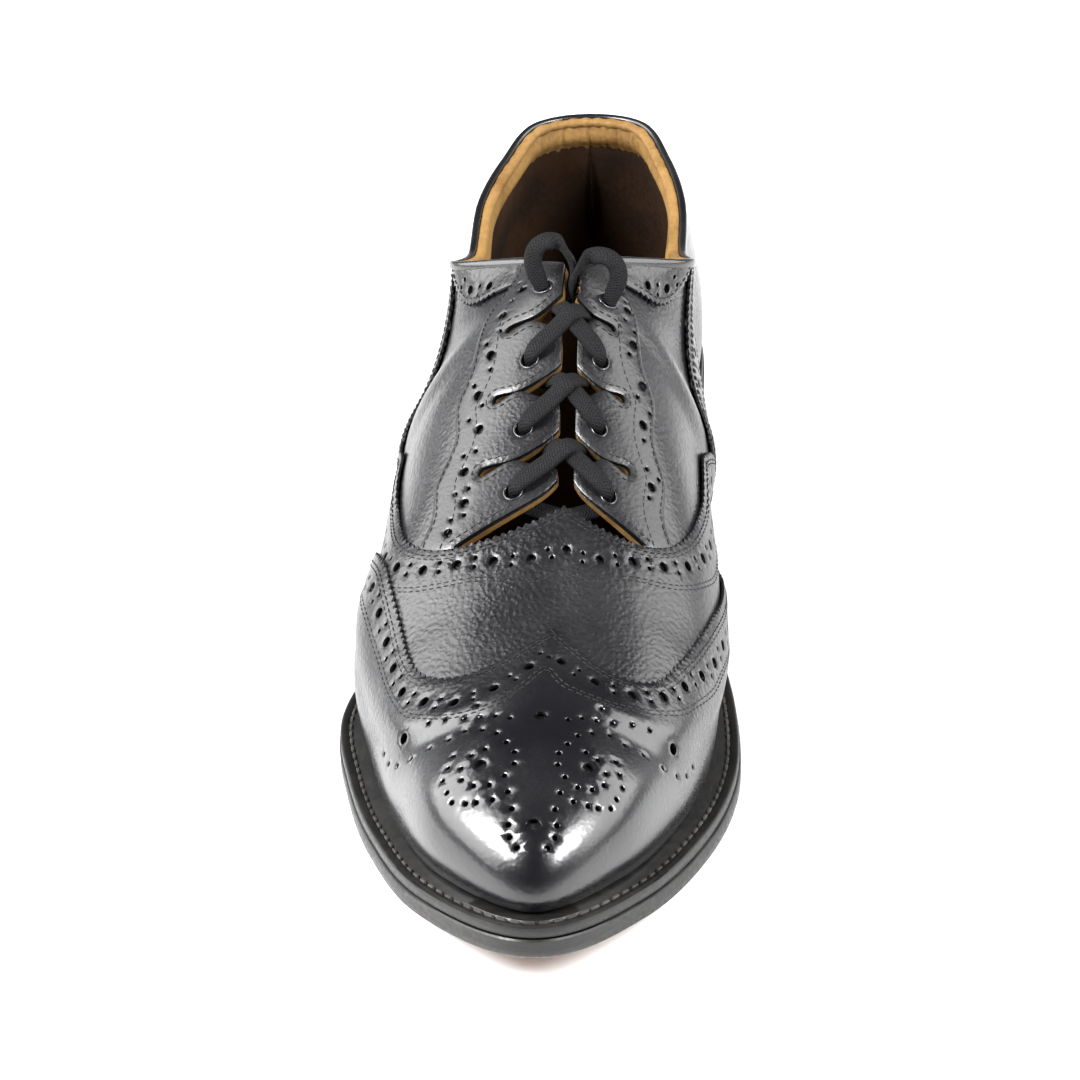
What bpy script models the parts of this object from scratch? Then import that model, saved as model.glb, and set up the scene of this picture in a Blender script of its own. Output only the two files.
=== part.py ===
# A ghillie brogue shoe for the right foot: leather sole, welt and stacked heel, and a wing-tip upper
# with an open throat, four lace tabs a side and no tongue.
# Units are metres. +Z is up, the toe points to -Y, and -X is the outer (lateral) side.

from collections import namedtuple
from math import cos, pi, radians, sin

import bmesh
import bpy
import numpy as np
from mathutils import Vector
from mathutils.bvhtree import BVHTree
from mathutils.geometry import delaunay_2d_cdt

# Last
feather_length = 0.297      # back of the heel to tip of the toe, along the upper's lower edge
ball_width = 0.087
heel_width = 0.062
back_height = 0.060         # upper above the insole seat at the back
instep_height = 0.084       # top of the throat above the seat
toe_height = 0.029          # toe box above the seat
heel_height = 0.027         # floor to the sole, at the back
toe_spring = 0.009

# Sole
outsole_thickness = 0.0055
outsole_bevel = 0.0012
welt_thickness = 0.0030
welt_inner_reach = -0.0080  # inner edge of the welt, inside the feather line
welt_set_back = 0.0004      # the welt's edge lies this far inside the sole's
insole_thickness = 0.0030
heel_length = 0.066
heel_taper = 0.0022
heel_breast_curve = 0.0035
top_piece_thickness = 0.0065

# Upper
upper_wall = 0.0020
overlay_thickness = 0.0010
clearance = 0.0003
layer_gap = 0.0007          # between curved layers of leather
panel_gap = 0.0007          # between neighbouring overlays, along the surface
cap_overlap = 0.0065        # how far the toe cap covers the vamp
cap_flat = 0.0125           # the cap stays raised this far in from its edge
cap_ramp = 0.0085           # and comes down over this length
cap_step = 0.0015           # rise of the cap where it lies over the vamp
rim_lift = 0.012            # share of the wall that overlays stay above the welt

# Size of the triangles in the leather, and where in the flat pattern they halve
grid_spacing = 0.0085
fine_before = -0.150
fine_behind = 0.114
foot_spacing = 0.0092
collar_spacing = 0.0070

# Lace
lace_width = 0.0050
lace_thickness = 0.0024
lace_hole = 0.0046

# The lace's end: from the top hole, over the top tab and down inside. Each point is (row, share),
# the lift off the leather, the rise above that and how far it stands back from it.
loop_path = (
    (6.10, .86, .0021, .0000, .000), (6.00, .90, .0032, .0004, .000), (5.88, .94, .0045, .0018, .000),
    (5.76, .975, .0040, .0052, .001), (5.68, 1.0, .0000, .0085, .003), (5.66, 1.0, -.0040, .0060, .0045),
    (5.68, .97, -.0080, .0020, .0035), (5.74, .92, -.0095, .0000, .002), (5.80, .87, -.0096, -.0015, .001),
)

Row = namedtuple("Row", "name along lateral medial width top_along top_out shift top height"
                        " fan_out fan_back drop flare wall crown")

# Sections of the last from the heel's back to the toe's tip. along and top_along are shares of
# feather_length, for the feather line and for the collar or ridge above it. lateral and medial are the
# half widths of the feather line, and width names what they are shares of. top_out is a share of
# heel_width, shift of ball_width, and top of the height that height names. fan_out and fan_back give
# the way in which the section runs in the flat pattern. drop and flare are degrees: how steeply the
# section leaves the top, and how far the wall leans out at the bottom. wall and crown are the share of
# the height and of the reach that stays straight before the section turns over.
rows = (
    Row("heel back", .000, .000, .000, "heel", .022, .000, .000, .940, "back", 0.0, 1.0, 80, 14, .36, .36),
    Row("heel curve", .027, .355, .355, "heel", .042, .265, .000, .930, "back", .62, .79, 80, 13, .36, .36),
    Row("heel side", .103, .500, .500, "heel", .103, .390, .000, .880, "back", .98, .21, 78, 10, .36, .36),
    Row("seat front", .197, .530, .516, "heel", .190, .470, .000, .890, "back", 1.0, -.05, 76, 13, .36, .36),
    Row("ankle", .298, .500, .460, "heel", .278, .480, .000, .905, "back", .99, -.14, 72, 20, .36, .38),
    Row("waist", .399, .398, .320, "ball", .356, .500, .000, 1.12, "back", .91, -.41, 62, 38, .36, .42),
    Row("instep", .500, .439, .323, "ball", .440, .000, .014, 1.00, "instep", .84, -.54, 0, 36, .42, .56),
    Row("throat", .594, .498, .393, "ball", .507, .000, .020, .913, "instep", .86, -.51, 0, 28, .45, .58),
    Row("joint", .685, .560, .437, "ball", .582, .000, .028, .758, "instep", .85, -.53, 0, 22, .48, .60),
    Row("vamp", .769, .507, .435, "ball", .656, .000, .028, .611, "instep", .81, -.59, 0, 12, .52, .62),
    Row("cap", .857, .400, .355, "ball", .740, .000, .014, .470, "instep", .74, -.67, 0, 10, .56, .60),
    Row("toe corner", .944, .270, .230, "ball", .828, .000, .002, 1.20, "toe", .50, -.87, 0, 8, .58, .58),
    Row("toe tip", 1.00, .000, .000, "ball", .895, .000, .000, 1.00, "toe", 0.0, -1.0, 0, 8, .56, .56),
)
last_row = len(rows) - 1
loop_rows = 2 * last_row    # once round the last: lateral rows forward, medial rows back

# How far the sole stands out past the feather line, one value for each row
sole_reach = (.0015, .0015, .0015, .0020, .0030, .0040, .0055, .0070, .0070, .0070, .0065, .0065, .0065)

# The sole's underside, as shares of feather_length
seat_level_to = .06
tread_from = .635
tread_to = .745
spring_power = 1.7

# Pattern lines. Each point is (row, share of the way from the feather line up to the ridge or collar).
wing_line = ((5.35, .012), (5.9, .09), (6.6, .16), (7.3, .24), (8.0, .34), (8.6, .40), (9.2, .465),
             (9.65, .54), (9.95, .66), (10.12, .79), (10.17, .90), (10.2, 1))
vamp_line = ((5.62, .345), (5.95, .338), (6.4, .345), (6.85, .38), (7.3, .43), (7.75, .50), (8.12, .585),
             (8.40, .68), (8.62, .80), (8.76, .92), (8.82, 1))
counter_line = ((4.7, 1), (4.95, .82), (5.2, .62), (5.45, .45), (5.55, .33), (5.42, .17), (5.1, .012))
facing_line = ((5.55, 1), (5.70, .88), (5.90, .73), (6.38, .665), (6.75, .63), (7.2, .645), (7.5, .60),
               (7.85, .605), (8.05, .565))
collar_line = ((4.8, 1), (4.98, .95), (5.2, .905), (5.4, .885), (5.58, .90))
backstay_line = ((1.05, 1), (1.05, .90), (.88, .76), (.5, .67), (0, .65))

# Slits between the lace tabs, and the run of a tab's edge from the slit above it to the slit below.
# after is counted in rows from the upper slit, beyond from the lower slit.
Slit = namedtuple("Slit", "row share")
slits = (Slit(6.35, .765), Slit(7.12, .76), Slit(7.80, .745), Slit(8.36, .675))
tab_upper_edge = ((.10, .84), (.28, .90), (.48, .962), (.62, .985))
tab_lower_edge = ((.08, .978), (.13, .935), (.10, .85))
top_tab_edge = ((5.62, 1), (5.95, .995), (6.14, .985), (6.36, .972), (6.45, .93), (6.42, .86))
slit_width = .09            # in rows
tab_apart = .0046           # between opposite tabs
lace_holes = ((6.10, .86), (6.96, .87), (7.66, .87), (8.26, .83))


def unit(vectors):
    return vectors / np.maximum(np.linalg.norm(vectors, axis=-1, keepdims=True), 1e-12)


def ease(share):
    share = np.clip(share, 0, 1)
    return share * share * (3 - 2 * share)


def sole_bottom(along):
    """Height of the sole's underside above the floor, from the distance along the feather line."""
    share = np.asarray(along) / feather_length
    pitch = heel_height * ease((tread_from - share) / (tread_from - seat_level_to))
    spring = np.clip((share - tread_to) / (1 - tread_to), 0, None) ** spring_power
    return pitch + toe_spring * spring


def seat(along):
    """Height of the upper's lower edge above the floor."""
    return sole_bottom(along) + outsole_thickness + welt_thickness + 2 * clearance


def row_table():
    """The sections in metres, once round the last."""
    widths = {"heel": heel_width, "ball": ball_width}
    heights = {"back": back_height, "instep": instep_height, "toe": toe_height}
    table = []
    for place in range(loop_rows):
        side = -1 if place <= last_row else 1
        number = place if place <= last_row else loop_rows - place
        row = rows[number]
        half = row.lateral if side < 0 else row.medial
        table.append((
            row.along * feather_length,
            side * half * widths[row.width],
            row.top_along * feather_length,
            side * row.top_out * heel_width + row.shift * ball_width,
            row.top * heights[row.height],
            row.drop, row.flare, row.wall, row.crown,
            side * row.fan_out, row.fan_back,
            sole_reach[number],
        ))
    return np.array(table)


table = row_table()


def round_last(place):
    """The section's values at a place round the last, smooth from row to row."""
    place = np.asarray(place, float)
    start = np.floor(place).astype(int)
    t = (place - start)[..., None]
    a, b, c, d = (table[(start + step) % loop_rows] for step in (-1, 0, 1, 2))
    return .5 * (2 * b + (c - a) * t + (2 * a - 5 * b + 4 * c - d) * t ** 2 + (3 * b - a - 3 * c + d) * t ** 3)


ridge_rows = [row for row in rows if row.drop == 0]
ridge_along = np.array([row.top_along * feather_length for row in ridge_rows])
ridge_height = np.array([seat(row.top_along * feather_length)
                         + row.top * (instep_height if row.height == "instep" else toe_height)
                         for row in ridge_rows])
ridge_slope = np.gradient(ridge_height, ridge_along)
ridge_offset = np.array([row.shift * ball_width for row in ridge_rows])
ridge_run = np.concatenate([[0], np.cumsum(np.hypot(np.diff(ridge_along), np.diff(ridge_height)))])


def feather_normal(place):
    """Outward direction of the feather line, seen from above."""
    step = .02
    change = round_last(place + step) - round_last(place - step)
    return unit(np.stack([-change[..., 0], -change[..., 1]], -1))


def skin(place, share):
    """The last's surface with the leather on it: place round the last, share from feather to top."""
    place, share = np.broadcast_arrays(np.asarray(place, float), np.asarray(share, float))
    row = round_last(place)
    foot = np.stack([row[..., 1], -row[..., 0], seat(row[..., 0])], -1)
    top = np.stack([row[..., 3], -row[..., 2], seat(row[..., 2]) + row[..., 4]], -1)
    rise = top[..., 2] - foot[..., 2]
    drop = np.radians(np.maximum(row[..., 5], 0))
    wall = foot.copy()
    wall[..., 2] += row[..., 7] * rise
    wall[..., :2] += feather_normal(place) * (row[..., 7] * rise * np.tan(np.radians(row[..., 6])))[..., None]
    run = foot[..., :2] - top[..., :2]
    reach = np.linalg.norm(run, axis=-1)
    run = run / np.maximum(reach, 1e-9)[..., None]
    slope = np.interp(-top[..., 1], ridge_along, ridge_slope)
    level = unit(np.stack([run[..., 0], run[..., 1], slope * -run[..., 1]], -1))
    leave = np.cos(drop)[..., None] * level - np.sin(drop)[..., None] * np.array([0, 0, 1.0])
    crown = top + leave * (row[..., 8] * (np.cos(drop) * reach + np.sin(drop) * rise))[..., None]
    t = share[..., None]
    return foot * (1 - t) ** 3 + 3 * wall * t * (1 - t) ** 2 + 3 * crown * t ** 2 * (1 - t) + top * t ** 3


def skin_normal(place, share):
    step = .01
    share = np.clip(share, 0, .985)
    around = skin(place + step, share) - skin(place - step, share)
    up = skin(place, np.minimum(share + step, 1)) - skin(place, np.maximum(share - step, 0))
    return unit(np.cross(around, up))


def lifted(place, share, lift):
    """A point above (or with a negative lift, below) the skin."""
    place, share = np.asarray(place, float), np.asarray(share, float)
    return skin(place, share) + np.asarray(lift)[..., None] * skin_normal(place, share)


class Pattern:
    """The upper laid flat: a map between the skin and a plane, where panels are drawn and cut."""
    places = 240
    shares = 28

    def __init__(self):
        place = np.arange(self.places + 1) * loop_rows / self.places
        share = np.linspace(0, 1, self.shares + 1)
        grid = skin(place[:, None], share[None, :])
        steps = np.linalg.norm(np.diff(grid, axis=1), axis=-1)
        from_top = np.zeros(grid.shape[:2])
        from_top[:, :-1] = np.cumsum(steps[:, ::-1], axis=1)[:, ::-1]
        top = grid[:, -1]
        on_ridge = (place >= 6) & (place <= loop_rows - 6)
        front = np.interp(6, place, -top[:, 1])
        ridge = [i for i in range(self.places + 1) if 6 <= place[i] <= last_row]
        ridge_run = np.concatenate([[0], np.cumsum(np.linalg.norm(np.diff(top[ridge], axis=0), axis=-1))])
        along = -top[:, 1]
        down = np.where(on_ridge, np.interp(along, along[ridge], ridge_run), along - front)
        fan = unit(round_last(place)[:, 9:11])
        self.flat = np.stack([top[:, 0][:, None] + fan[:, 0][:, None] * from_top,
                              -down[:, None] + fan[:, 1][:, None] * from_top], -1)
        self.place, self.share = place, share
        corners, faces, self.spots = [], [], []
        for i in range(self.places + 1):
            for j in range(self.shares + 1):
                corners.append(Vector((*self.flat[i, j], 0)))
        for i in range(self.places):
            for j in range(self.shares):
                for spots in (((i, j), (i + 1, j), (i + 1, j + 1)), ((i, j), (i + 1, j + 1), (i, j + 1))):
                    faces.append([a * (self.shares + 1) + b for a, b in spots])
                    self.spots.append(spots)
        self.tree = BVHTree.FromPolygons(corners, faces)

    def draw(self, place, share):
        """The flat point of a place on the skin."""
        i = (place % loop_rows) / loop_rows * self.places
        j = share * self.shares
        a, b = min(int(i), self.places - 1), min(int(j), self.shares - 1)
        s, t = i - a, j - b
        low = self.flat[a, b] * (1 - s) + self.flat[a + 1, b] * s
        high = self.flat[a, b + 1] * (1 - s) + self.flat[a + 1, b + 1] * s
        return low * (1 - t) + high * t

    def find(self, points):
        """The places and shares of flat points."""
        found = []
        for point in points:
            spot, _, face, _ = self.tree.find_nearest(Vector((point[0], point[1], 0)))
            grid = self.spots[face]
            a, b, c = (self.flat[s] for s in grid)
            e, f, g = b - a, c - a, np.array(spot[:2]) - a
            area = e[0] * f[1] - e[1] * f[0]
            s = (g[0] * f[1] - g[1] * f[0]) / area
            t = (e[0] * g[1] - e[1] * g[0]) / area
            place = [self.place[k[0]] for k in grid]
            share = [self.share[k[1]] for k in grid]
            found.append((place[0] + s * (place[1] - place[0]) + t * (place[2] - place[0]),
                          share[0] + s * (share[1] - share[0]) + t * (share[2] - share[0])))
        return np.array(found)


pattern = Pattern()


def curve_through(points, step):
    """Points a step apart along a smooth curve through flat points."""
    points = np.asarray(points, float)
    ends = np.vstack([2 * points[0] - points[1], points, 2 * points[-1] - points[-2]])
    fine = []
    for k in range(1, len(ends) - 2):
        a, b, c, d = ends[k - 1:k + 3]
        for t in np.linspace(0, 1, 16, endpoint=False):
            fine.append(.5 * (2 * b + (c - a) * t + (2 * a - 5 * b + 4 * c - d) * t ** 2
                              + (3 * b - a - 3 * c + d) * t ** 3))
    fine.append(points[-1])
    return spaced(np.array(fine), step)


def spaced(line, step):
    """The same line with its points evenly spaced, about a step apart."""
    run = np.concatenate([[0], np.cumsum(np.linalg.norm(np.diff(line, axis=0), axis=1))])
    count = max(2, int(round(run[-1] / step)) + 1)
    at = np.linspace(0, run[-1], count)
    return np.stack([np.interp(at, run, line[:, 0]), np.interp(at, run, line[:, 1])], -1)


def on_side(side, row):
    """A row's place round the last: lateral is side -1, medial is side 1."""
    return row if side < 0 else loop_rows - row


def drawn(side, line, step):
    """A pattern line, laid flat and smoothed."""
    return curve_through([pattern.draw(on_side(side, row), share) for row, share in line], step)


def edge_stations(share):
    """Places evenly spaced round the feather line or the collar, the same for every layer."""
    fine = np.linspace(0, loop_rows, 961)
    line = np.array([pattern.draw(place, share) for place in fine])
    run = np.concatenate([[0], np.cumsum(np.linalg.norm(np.diff(line, axis=0), axis=1))])
    pairs = int(run[-1] / (collar_spacing if share > .5 else foot_spacing) / 2)
    return np.interp(np.linspace(0, run[-1], 2 * pairs + 1), run, fine)


def edge_line(side, start, end, share):
    """A stretch of the feather line (share 0) or the collar (share 1), from row to row."""
    first, last = on_side(side, start), on_side(side, end)
    stations = edge_stations(1 if share > .5 else 0)
    low, high = min(first, last), max(first, last)
    margin = .12
    places = [p for p in stations if low + margin < p < high - margin]
    places = [low, *places, high]
    if first > last:
        places = places[::-1]
    return np.array([pattern.draw(place, share) for place in places])


def joined(*lines):
    """One closed outline from lines that meet end to end."""
    outline = []
    for line in lines:
        for point in line:
            if not outline or np.linalg.norm(point - outline[-1]) > 1e-4:
                outline.append(point)
    if np.linalg.norm(outline[0] - outline[-1]) < 1e-4:
        outline.pop()
    return np.array(outline)


def inside(points, outline):
    """Which points lie inside a closed outline."""
    x, y = points[:, 0][:, None], points[:, 1][:, None]
    a, b = outline, np.roll(outline, -1, axis=0)
    between = (a[:, 1] > y) != (b[:, 1] > y)
    with np.errstate(divide="ignore", invalid="ignore"):
        cross = a[:, 0] + (y - a[:, 1]) * (b[:, 0] - a[:, 0]) / (b[:, 1] - a[:, 1])
    return (between & (x < cross)).sum(axis=1) % 2 == 1


def distance_to(points, line, closed=False):
    """The distance from each point to a line."""
    a = line if closed else line[:-1]
    b = np.roll(line, -1, axis=0) if closed else line[1:]
    run = b - a
    t = ((points[:, None] - a) * run).sum(-1) / np.maximum((run * run).sum(-1), 1e-18)
    near = a + np.clip(t, 0, 1)[..., None] * run
    return np.linalg.norm(points[:, None] - near, axis=-1).min(axis=1)


def shrunk(outline, amount):
    """An outline moved inwards by an amount."""
    before, after = np.roll(outline, 1, axis=0), np.roll(outline, -1, axis=0)
    run = unit(after - before)
    turn = np.stack([-run[:, 1], run[:, 0]], -1)
    area = (outline[:, 0] * after[:, 1] - after[:, 0] * outline[:, 1]).sum()
    return outline + turn * (amount if area > 0 else -amount)


def grid_points(low, high):
    """One grid for all the leather, so that layers bend alike. It is finer round the toe."""
    step = grid_spacing / 2
    rise = step * sin(radians(60))
    points = []
    for j in range(int(low[1] / rise) - 1, int(high[1] / rise) + 2):
        for i in range(int(low[0] / step) - 1, int(high[0] / step) + 2):
            y = j * rise
            if y < fine_before or y > fine_behind and y < .15 and abs(i) * step < .026 or (j % 2 == 0 and (i - j // 2) % 2 == 0):
                points.append(((i + .5 * (j % 2)) * step, y))
    return np.array(points)


def triangulated(outlines):
    """Flat points and triangles that fill the first outline, less the holes after it."""
    outer, holes = outlines[0], outlines[1:]
    grid = grid_points(outer.min(axis=0), outer.max(axis=0))
    fine = (grid[:, 1] < fine_before) | (grid[:, 1] > fine_behind) & (np.abs(grid[:, 0]) < .026)
    apart = np.where(fine, .3, .5) * grid_spacing
    keep = inside(grid, outer) & (distance_to(grid, outer, True) > apart)
    for hole in holes:
        keep &= ~inside(grid, hole) & (distance_to(grid, hole, True) > .4 * grid_spacing)
    points, edges = [], []
    for outline in outlines:
        first = len(points)
        points.extend(outline)
        edges.extend((first + k, first + (k + 1) % len(outline)) for k in range(len(outline)))
    points.extend(grid[keep])
    result = delaunay_2d_cdt([Vector(p) for p in points], edges, [], 0, 1e-7)
    flat = np.array([tuple(p) for p in result[0]])
    faces = np.array([f for f in result[2] if len(f) == 3])
    middle = flat[faces].mean(axis=1)
    keep = inside(middle, outer)
    for hole in holes:
        keep &= ~inside(middle, hole)
    return flat, faces[keep]


def new_object(name, corners, faces, material):
    mesh = bpy.data.meshes.new(name)
    mesh.from_pydata([tuple(c) for c in corners], [], [tuple(int(i) for i in f) for f in faces])
    mesh.validate()
    mesh.materials.append(material)
    obj = bpy.data.objects.new(name, mesh)
    shoe_parts.objects.link(obj)
    obj.parent = shoe
    return obj


def turn_outwards(obj):
    """Splits a closed solid's faces into triangles, all turned outwards."""
    mesh = bmesh.new()
    mesh.from_mesh(obj.data)
    bmesh.ops.triangulate(mesh, faces=mesh.faces)
    bmesh.ops.recalc_face_normals(mesh, faces=mesh.faces)
    mesh.to_mesh(obj.data)
    mesh.free()


def face_outwards(obj):
    """Turns the faces of an open panel away from the foot."""
    mesh = bmesh.new()
    mesh.from_mesh(obj.data)
    loose = [v for v in mesh.verts if not v.link_faces]
    bmesh.ops.delete(mesh, geom=loose, context="VERTS")
    bmesh.ops.recalc_face_normals(mesh, faces=mesh.faces)
    tallest = max(mesh.faces, key=lambda f: abs(f.calc_center_median().x))
    if tallest.normal.x * tallest.calc_center_median().x < 0:
        bmesh.ops.reverse_faces(mesh, faces=mesh.faces)
    mesh.to_mesh(obj.data)
    mesh.free()


def panel(name, outlines, material, lift, thickness, outwards=True):
    """A piece of leather on the last: outlines in the flat pattern, given a wall by Solidify."""
    flat, faces = triangulated(outlines)
    spots = pattern.find(flat)
    lifts = lift(flat) if callable(lift) else np.full(len(flat), lift)
    obj = new_object(name, lifted(spots[:, 0], spots[:, 1], lifts), faces, material)
    face_outwards(obj)
    wall = obj.modifiers.new("wall", "SOLIDIFY")
    wall.thickness = thickness
    wall.offset = 1 if outwards else -1
    wall.use_even_offset = False
    return obj


def tab_line(side, step):
    """The scalloped edge of a facing, from the collar to the foot of the throat."""
    line = list(top_tab_edge)
    for above, below in zip(slits, slits[1:]):
        line.append((above.row - slit_width / 2, above.share + .01))
        line.append((above.row + slit_width / 2, above.share + .01))
        line += [(above.row + after, share) for after, share in tab_upper_edge]
        line += [(below.row + beyond, share) for beyond, share in tab_lower_edge]
    line.append((slits[-1].row, slits[-1].share))
    line = drawn(side, line, step)
    middle = np.interp(-line[:, 1], ridge_run, ridge_offset)
    line[:, 0] = middle + side * np.maximum(side * (line[:, 0] - middle), tab_apart / 2)
    return line


def circle(side, row, share, radius, count=10):
    middle = pattern.draw(on_side(side, row), share)
    return np.array([middle + radius * np.array([cos(2 * pi * k / count), sin(2 * pi * k / count)])
                     for k in range(count)])


def part_of(line, start, end):
    """The stretch of a line between two points on it."""
    step = np.linalg.norm(np.diff(line, axis=0), axis=1).mean()
    i = int(np.argmin(np.linalg.norm(line - start, axis=1)))
    j = int(np.argmin(np.linalg.norm(line - end, axis=1)))
    stretch = line[i:j + 1] if i <= j else line[j:i + 1][::-1]
    clear = (np.linalg.norm(stretch - start, axis=1) > .5 * step) & (np.linalg.norm(stretch - end, axis=1) > .5 * step)
    between = ((stretch - start) * (end - start)).sum(1) > 0
    return np.vstack([start, stretch[clear & between], end])


def make_upper():
    """The hollow shell: open at the collar and throat and underneath, with lace holes in its tabs."""
    feather = joined(edge_line(-1, 0, last_row, 0), edge_line(1, last_row, 0, 0))
    sides = []
    for side in (-1, 1):
        collar = edge_line(side, 0, top_tab_edge[0][0], 1)
        tabs = tab_line(side, .0036)
        vamp = drawn(side, vamp_line, .006)
        sides.append((collar, tabs, part_of(vamp, tabs[-1], vamp[-1])))
    (collar_l, tabs_l, vamp_l), (collar_m, tabs_m, vamp_m) = sides
    opening = joined(collar_l, tabs_l, vamp_l, vamp_m[::-1], tabs_m[::-1], collar_m[::-1])
    holes = [circle(side, row, share, lace_hole / 2, 8) for side in (-1, 1) for row, share in lace_holes]
    lift = -(overlay_thickness + layer_gap)
    panel("upper", [feather, opening, *holes], leather, lift, upper_wall, outwards=False)


def make_facings():
    """The lace facings, with four tabs each, laid on the quarters."""
    for side, name in ((-1, "facing_lateral"), (1, "facing_medial")):
        collar = edge_line(side, facing_line[0][0], top_tab_edge[0][0], 1)
        tabs = tab_line(side, .0036)
        foot = drawn(side, vamp_line, .004)
        outer = drawn(side, facing_line, .005)
        foot = part_of(foot, tabs[-1], outer[-1])
        outline = shrunk(joined(collar, tabs, foot, outer[::-1]), panel_gap / 2)
        holes = [circle(side, row, share, lace_hole / 2, 8) for row, share in lace_holes]
        panel(name, [outline, *holes], leather, -overlay_thickness, overlay_thickness)


def wing_edge(step=.004):
    """The toe cap's winged edge, from the lateral feather line over the peak to the medial one."""
    lateral, medial = drawn(-1, wing_line, step), drawn(1, wing_line, step)
    return np.vstack([lateral, medial[::-1][1:]])


def tucked_edge(step, rim):
    """The vamp's front edge, under the cap: the winged edge moved on by the overlap."""
    edge = wing_edge(step)
    run = unit(np.gradient(edge, axis=0))
    line = edge + np.stack([run[:, 1], -run[:, 0]], -1) * cap_overlap
    keep = inside(line, rim) & (distance_to(line, edge) > .97 * cap_overlap)
    return line[keep]


def make_vamp():
    """The vamp: its winged top edge lies over the facings, and its front goes under the toe cap."""
    step = .006
    top_l, top_m = drawn(-1, vamp_line, step), drawn(1, vamp_line, step)
    back_l, back_m = drawn(-1, counter_line, step), drawn(1, counter_line, step)
    rim_l = edge_line(-1, counter_line[-1][0], last_row, rim_lift)
    rim_m = edge_line(1, last_row, counter_line[-1][0], rim_lift)
    whole_rim = np.vstack([edge_line(-1, 0, last_row, rim_lift), edge_line(1, last_row, 0, rim_lift)])
    front = tucked_edge(step, whole_rim)
    outline = joined(
        top_l[::-1],
        part_of(back_l, top_l[0], back_l[-1]),
        part_of(rim_l, rim_l[0], front[0])[:-1],
        front,
        part_of(rim_m, front[-1], rim_m[-1])[1:],
        part_of(back_m, back_m[-1], top_m[0]),
        top_m,
    )
    panel("vamp", [shrunk(outline, panel_gap / 2)], leather, -overlay_thickness, overlay_thickness)


def cap_lift(flat):
    """The cap's underside: over the vamp near its edge, and down on the upper beyond it."""
    inward = distance_to(flat, wing_edge())
    rise = 1 - ease((inward - cap_flat) / cap_ramp)
    return -overlay_thickness + rise * cap_step


def make_wing_cap():
    edge = wing_edge(.005)
    feather = np.vstack([edge_line(1, wing_line[0][0], last_row, rim_lift),
                         edge_line(-1, last_row, wing_line[0][0], rim_lift)])
    outline = joined(edge, feather)
    panel("wing_cap", [outline], leather, cap_lift, overlay_thickness)


def make_counter():
    """The heel overlay and the small backstay cap at the top of its seam."""
    step = .006
    front_l, front_m = drawn(-1, counter_line, step), drawn(1, counter_line, step)
    foot = np.vstack([edge_line(-1, counter_line[-1][0], 0, rim_lift),
                      edge_line(1, 0, counter_line[-1][0], rim_lift)])
    stay_l, stay_m = drawn(-1, backstay_line, .004), drawn(1, backstay_line, .004)
    top_m = edge_line(1, counter_line[0][0], backstay_line[0][0], 1)
    top_l = edge_line(-1, backstay_line[0][0], counter_line[0][0], 1)
    outline = joined(front_l, foot, front_m[::-1], top_m, stay_m, stay_l[::-1], top_l)
    panel("counter", [shrunk(outline, panel_gap / 2)], leather, -overlay_thickness, overlay_thickness)
    collar = np.vstack([edge_line(1, backstay_line[0][0], 0, 1),
                        edge_line(-1, 0, backstay_line[0][0], 1)])
    stay = joined(stay_l, stay_m[::-1], collar)
    panel("backstay", [shrunk(stay, panel_gap / 2)], patent, -overlay_thickness, overlay_thickness)


def make_collar_pieces():
    for side, name in ((-1, "collar_lateral"), (1, "collar_medial")):
        lower = drawn(side, collar_line, .004)
        facing = part_of(drawn(side, facing_line, .004), lower[-1], pattern.draw(on_side(side, 5.55), 1))
        upper_edge = edge_line(side, facing_line[0][0], collar_line[0][0], 1)
        outline = joined(lower, facing, upper_edge)
        panel(name, [shrunk(outline, panel_gap / 2)], leather, -overlay_thickness, overlay_thickness)


def round_sole(reach, count=72):
    """Points round the sole, outside (or inside) the feather line. reach may be one value or a share."""
    place = np.arange(count) * loop_rows / count
    row = round_last(place)
    out = reach(row[:, 11]) if callable(reach) else np.full(count, reach)
    points = np.stack([row[:, 1], -row[:, 0]], -1) + feather_normal(place) * out[:, None]
    return points


def level(points, height):
    along = -points[:, 1]
    return np.column_stack([points, height(along)])


def strip_faces(count, first):
    """Faces across a level ring, which join its lateral points to its medial ones."""
    faces = [(first, first + 1, first + count - 1)]
    for k in range(1, count // 2 - 1):
        faces.append((first + k, first + k + 1, first + count - k - 1, first + count - k))
    faces.append((first + count // 2 - 1, first + count // 2, first + count // 2 + 1))
    return faces


def ring_faces(count, rings, closed=False):
    faces = []
    for r in range(rings if closed else rings - 1):
        a, b = r * count, ((r + 1) % rings) * count
        faces += [(a + k, a + (k + 1) % count, b + (k + 1) % count, b + k) for k in range(count)]
    return faces


def make_solid(name, rings, caps, material):
    """A solid lofted through level rings, bottom to top, closed by strips or on itself."""
    count = len(rings[0])
    faces = ring_faces(count, len(rings), closed=not caps)
    if caps:
        faces += [f[::-1] for f in strip_faces(count, 0)] + strip_faces(count, (len(rings) - 1) * count)
    obj = new_object(name, np.vstack(rings), faces, material)
    turn_outwards(obj)
    return obj


def sweep(name, spots, outward):
    """A flat lace along a line of points, its face turned towards outward."""
    spots = np.asarray(spots, float)
    run = unit(np.gradient(spots, axis=0))
    across = unit(np.cross(run, outward))
    up = unit(np.cross(across, run))
    corners, count = [], 6
    for spot, a, u in zip(spots, across, up):
        for k in range(count):
            turn = 2 * pi * (k + .5) / count
            corners.append(spot + a * cos(turn) * lace_width / 2 + u * sin(turn) * lace_thickness / 2)
    faces = ring_faces(count, len(spots))
    faces += [tuple(range(count))[::-1], tuple(range(len(corners) - count, len(corners)))]
    obj = new_object(name, corners, faces, lace_black)
    turn_outwards(obj)
    return obj


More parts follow.
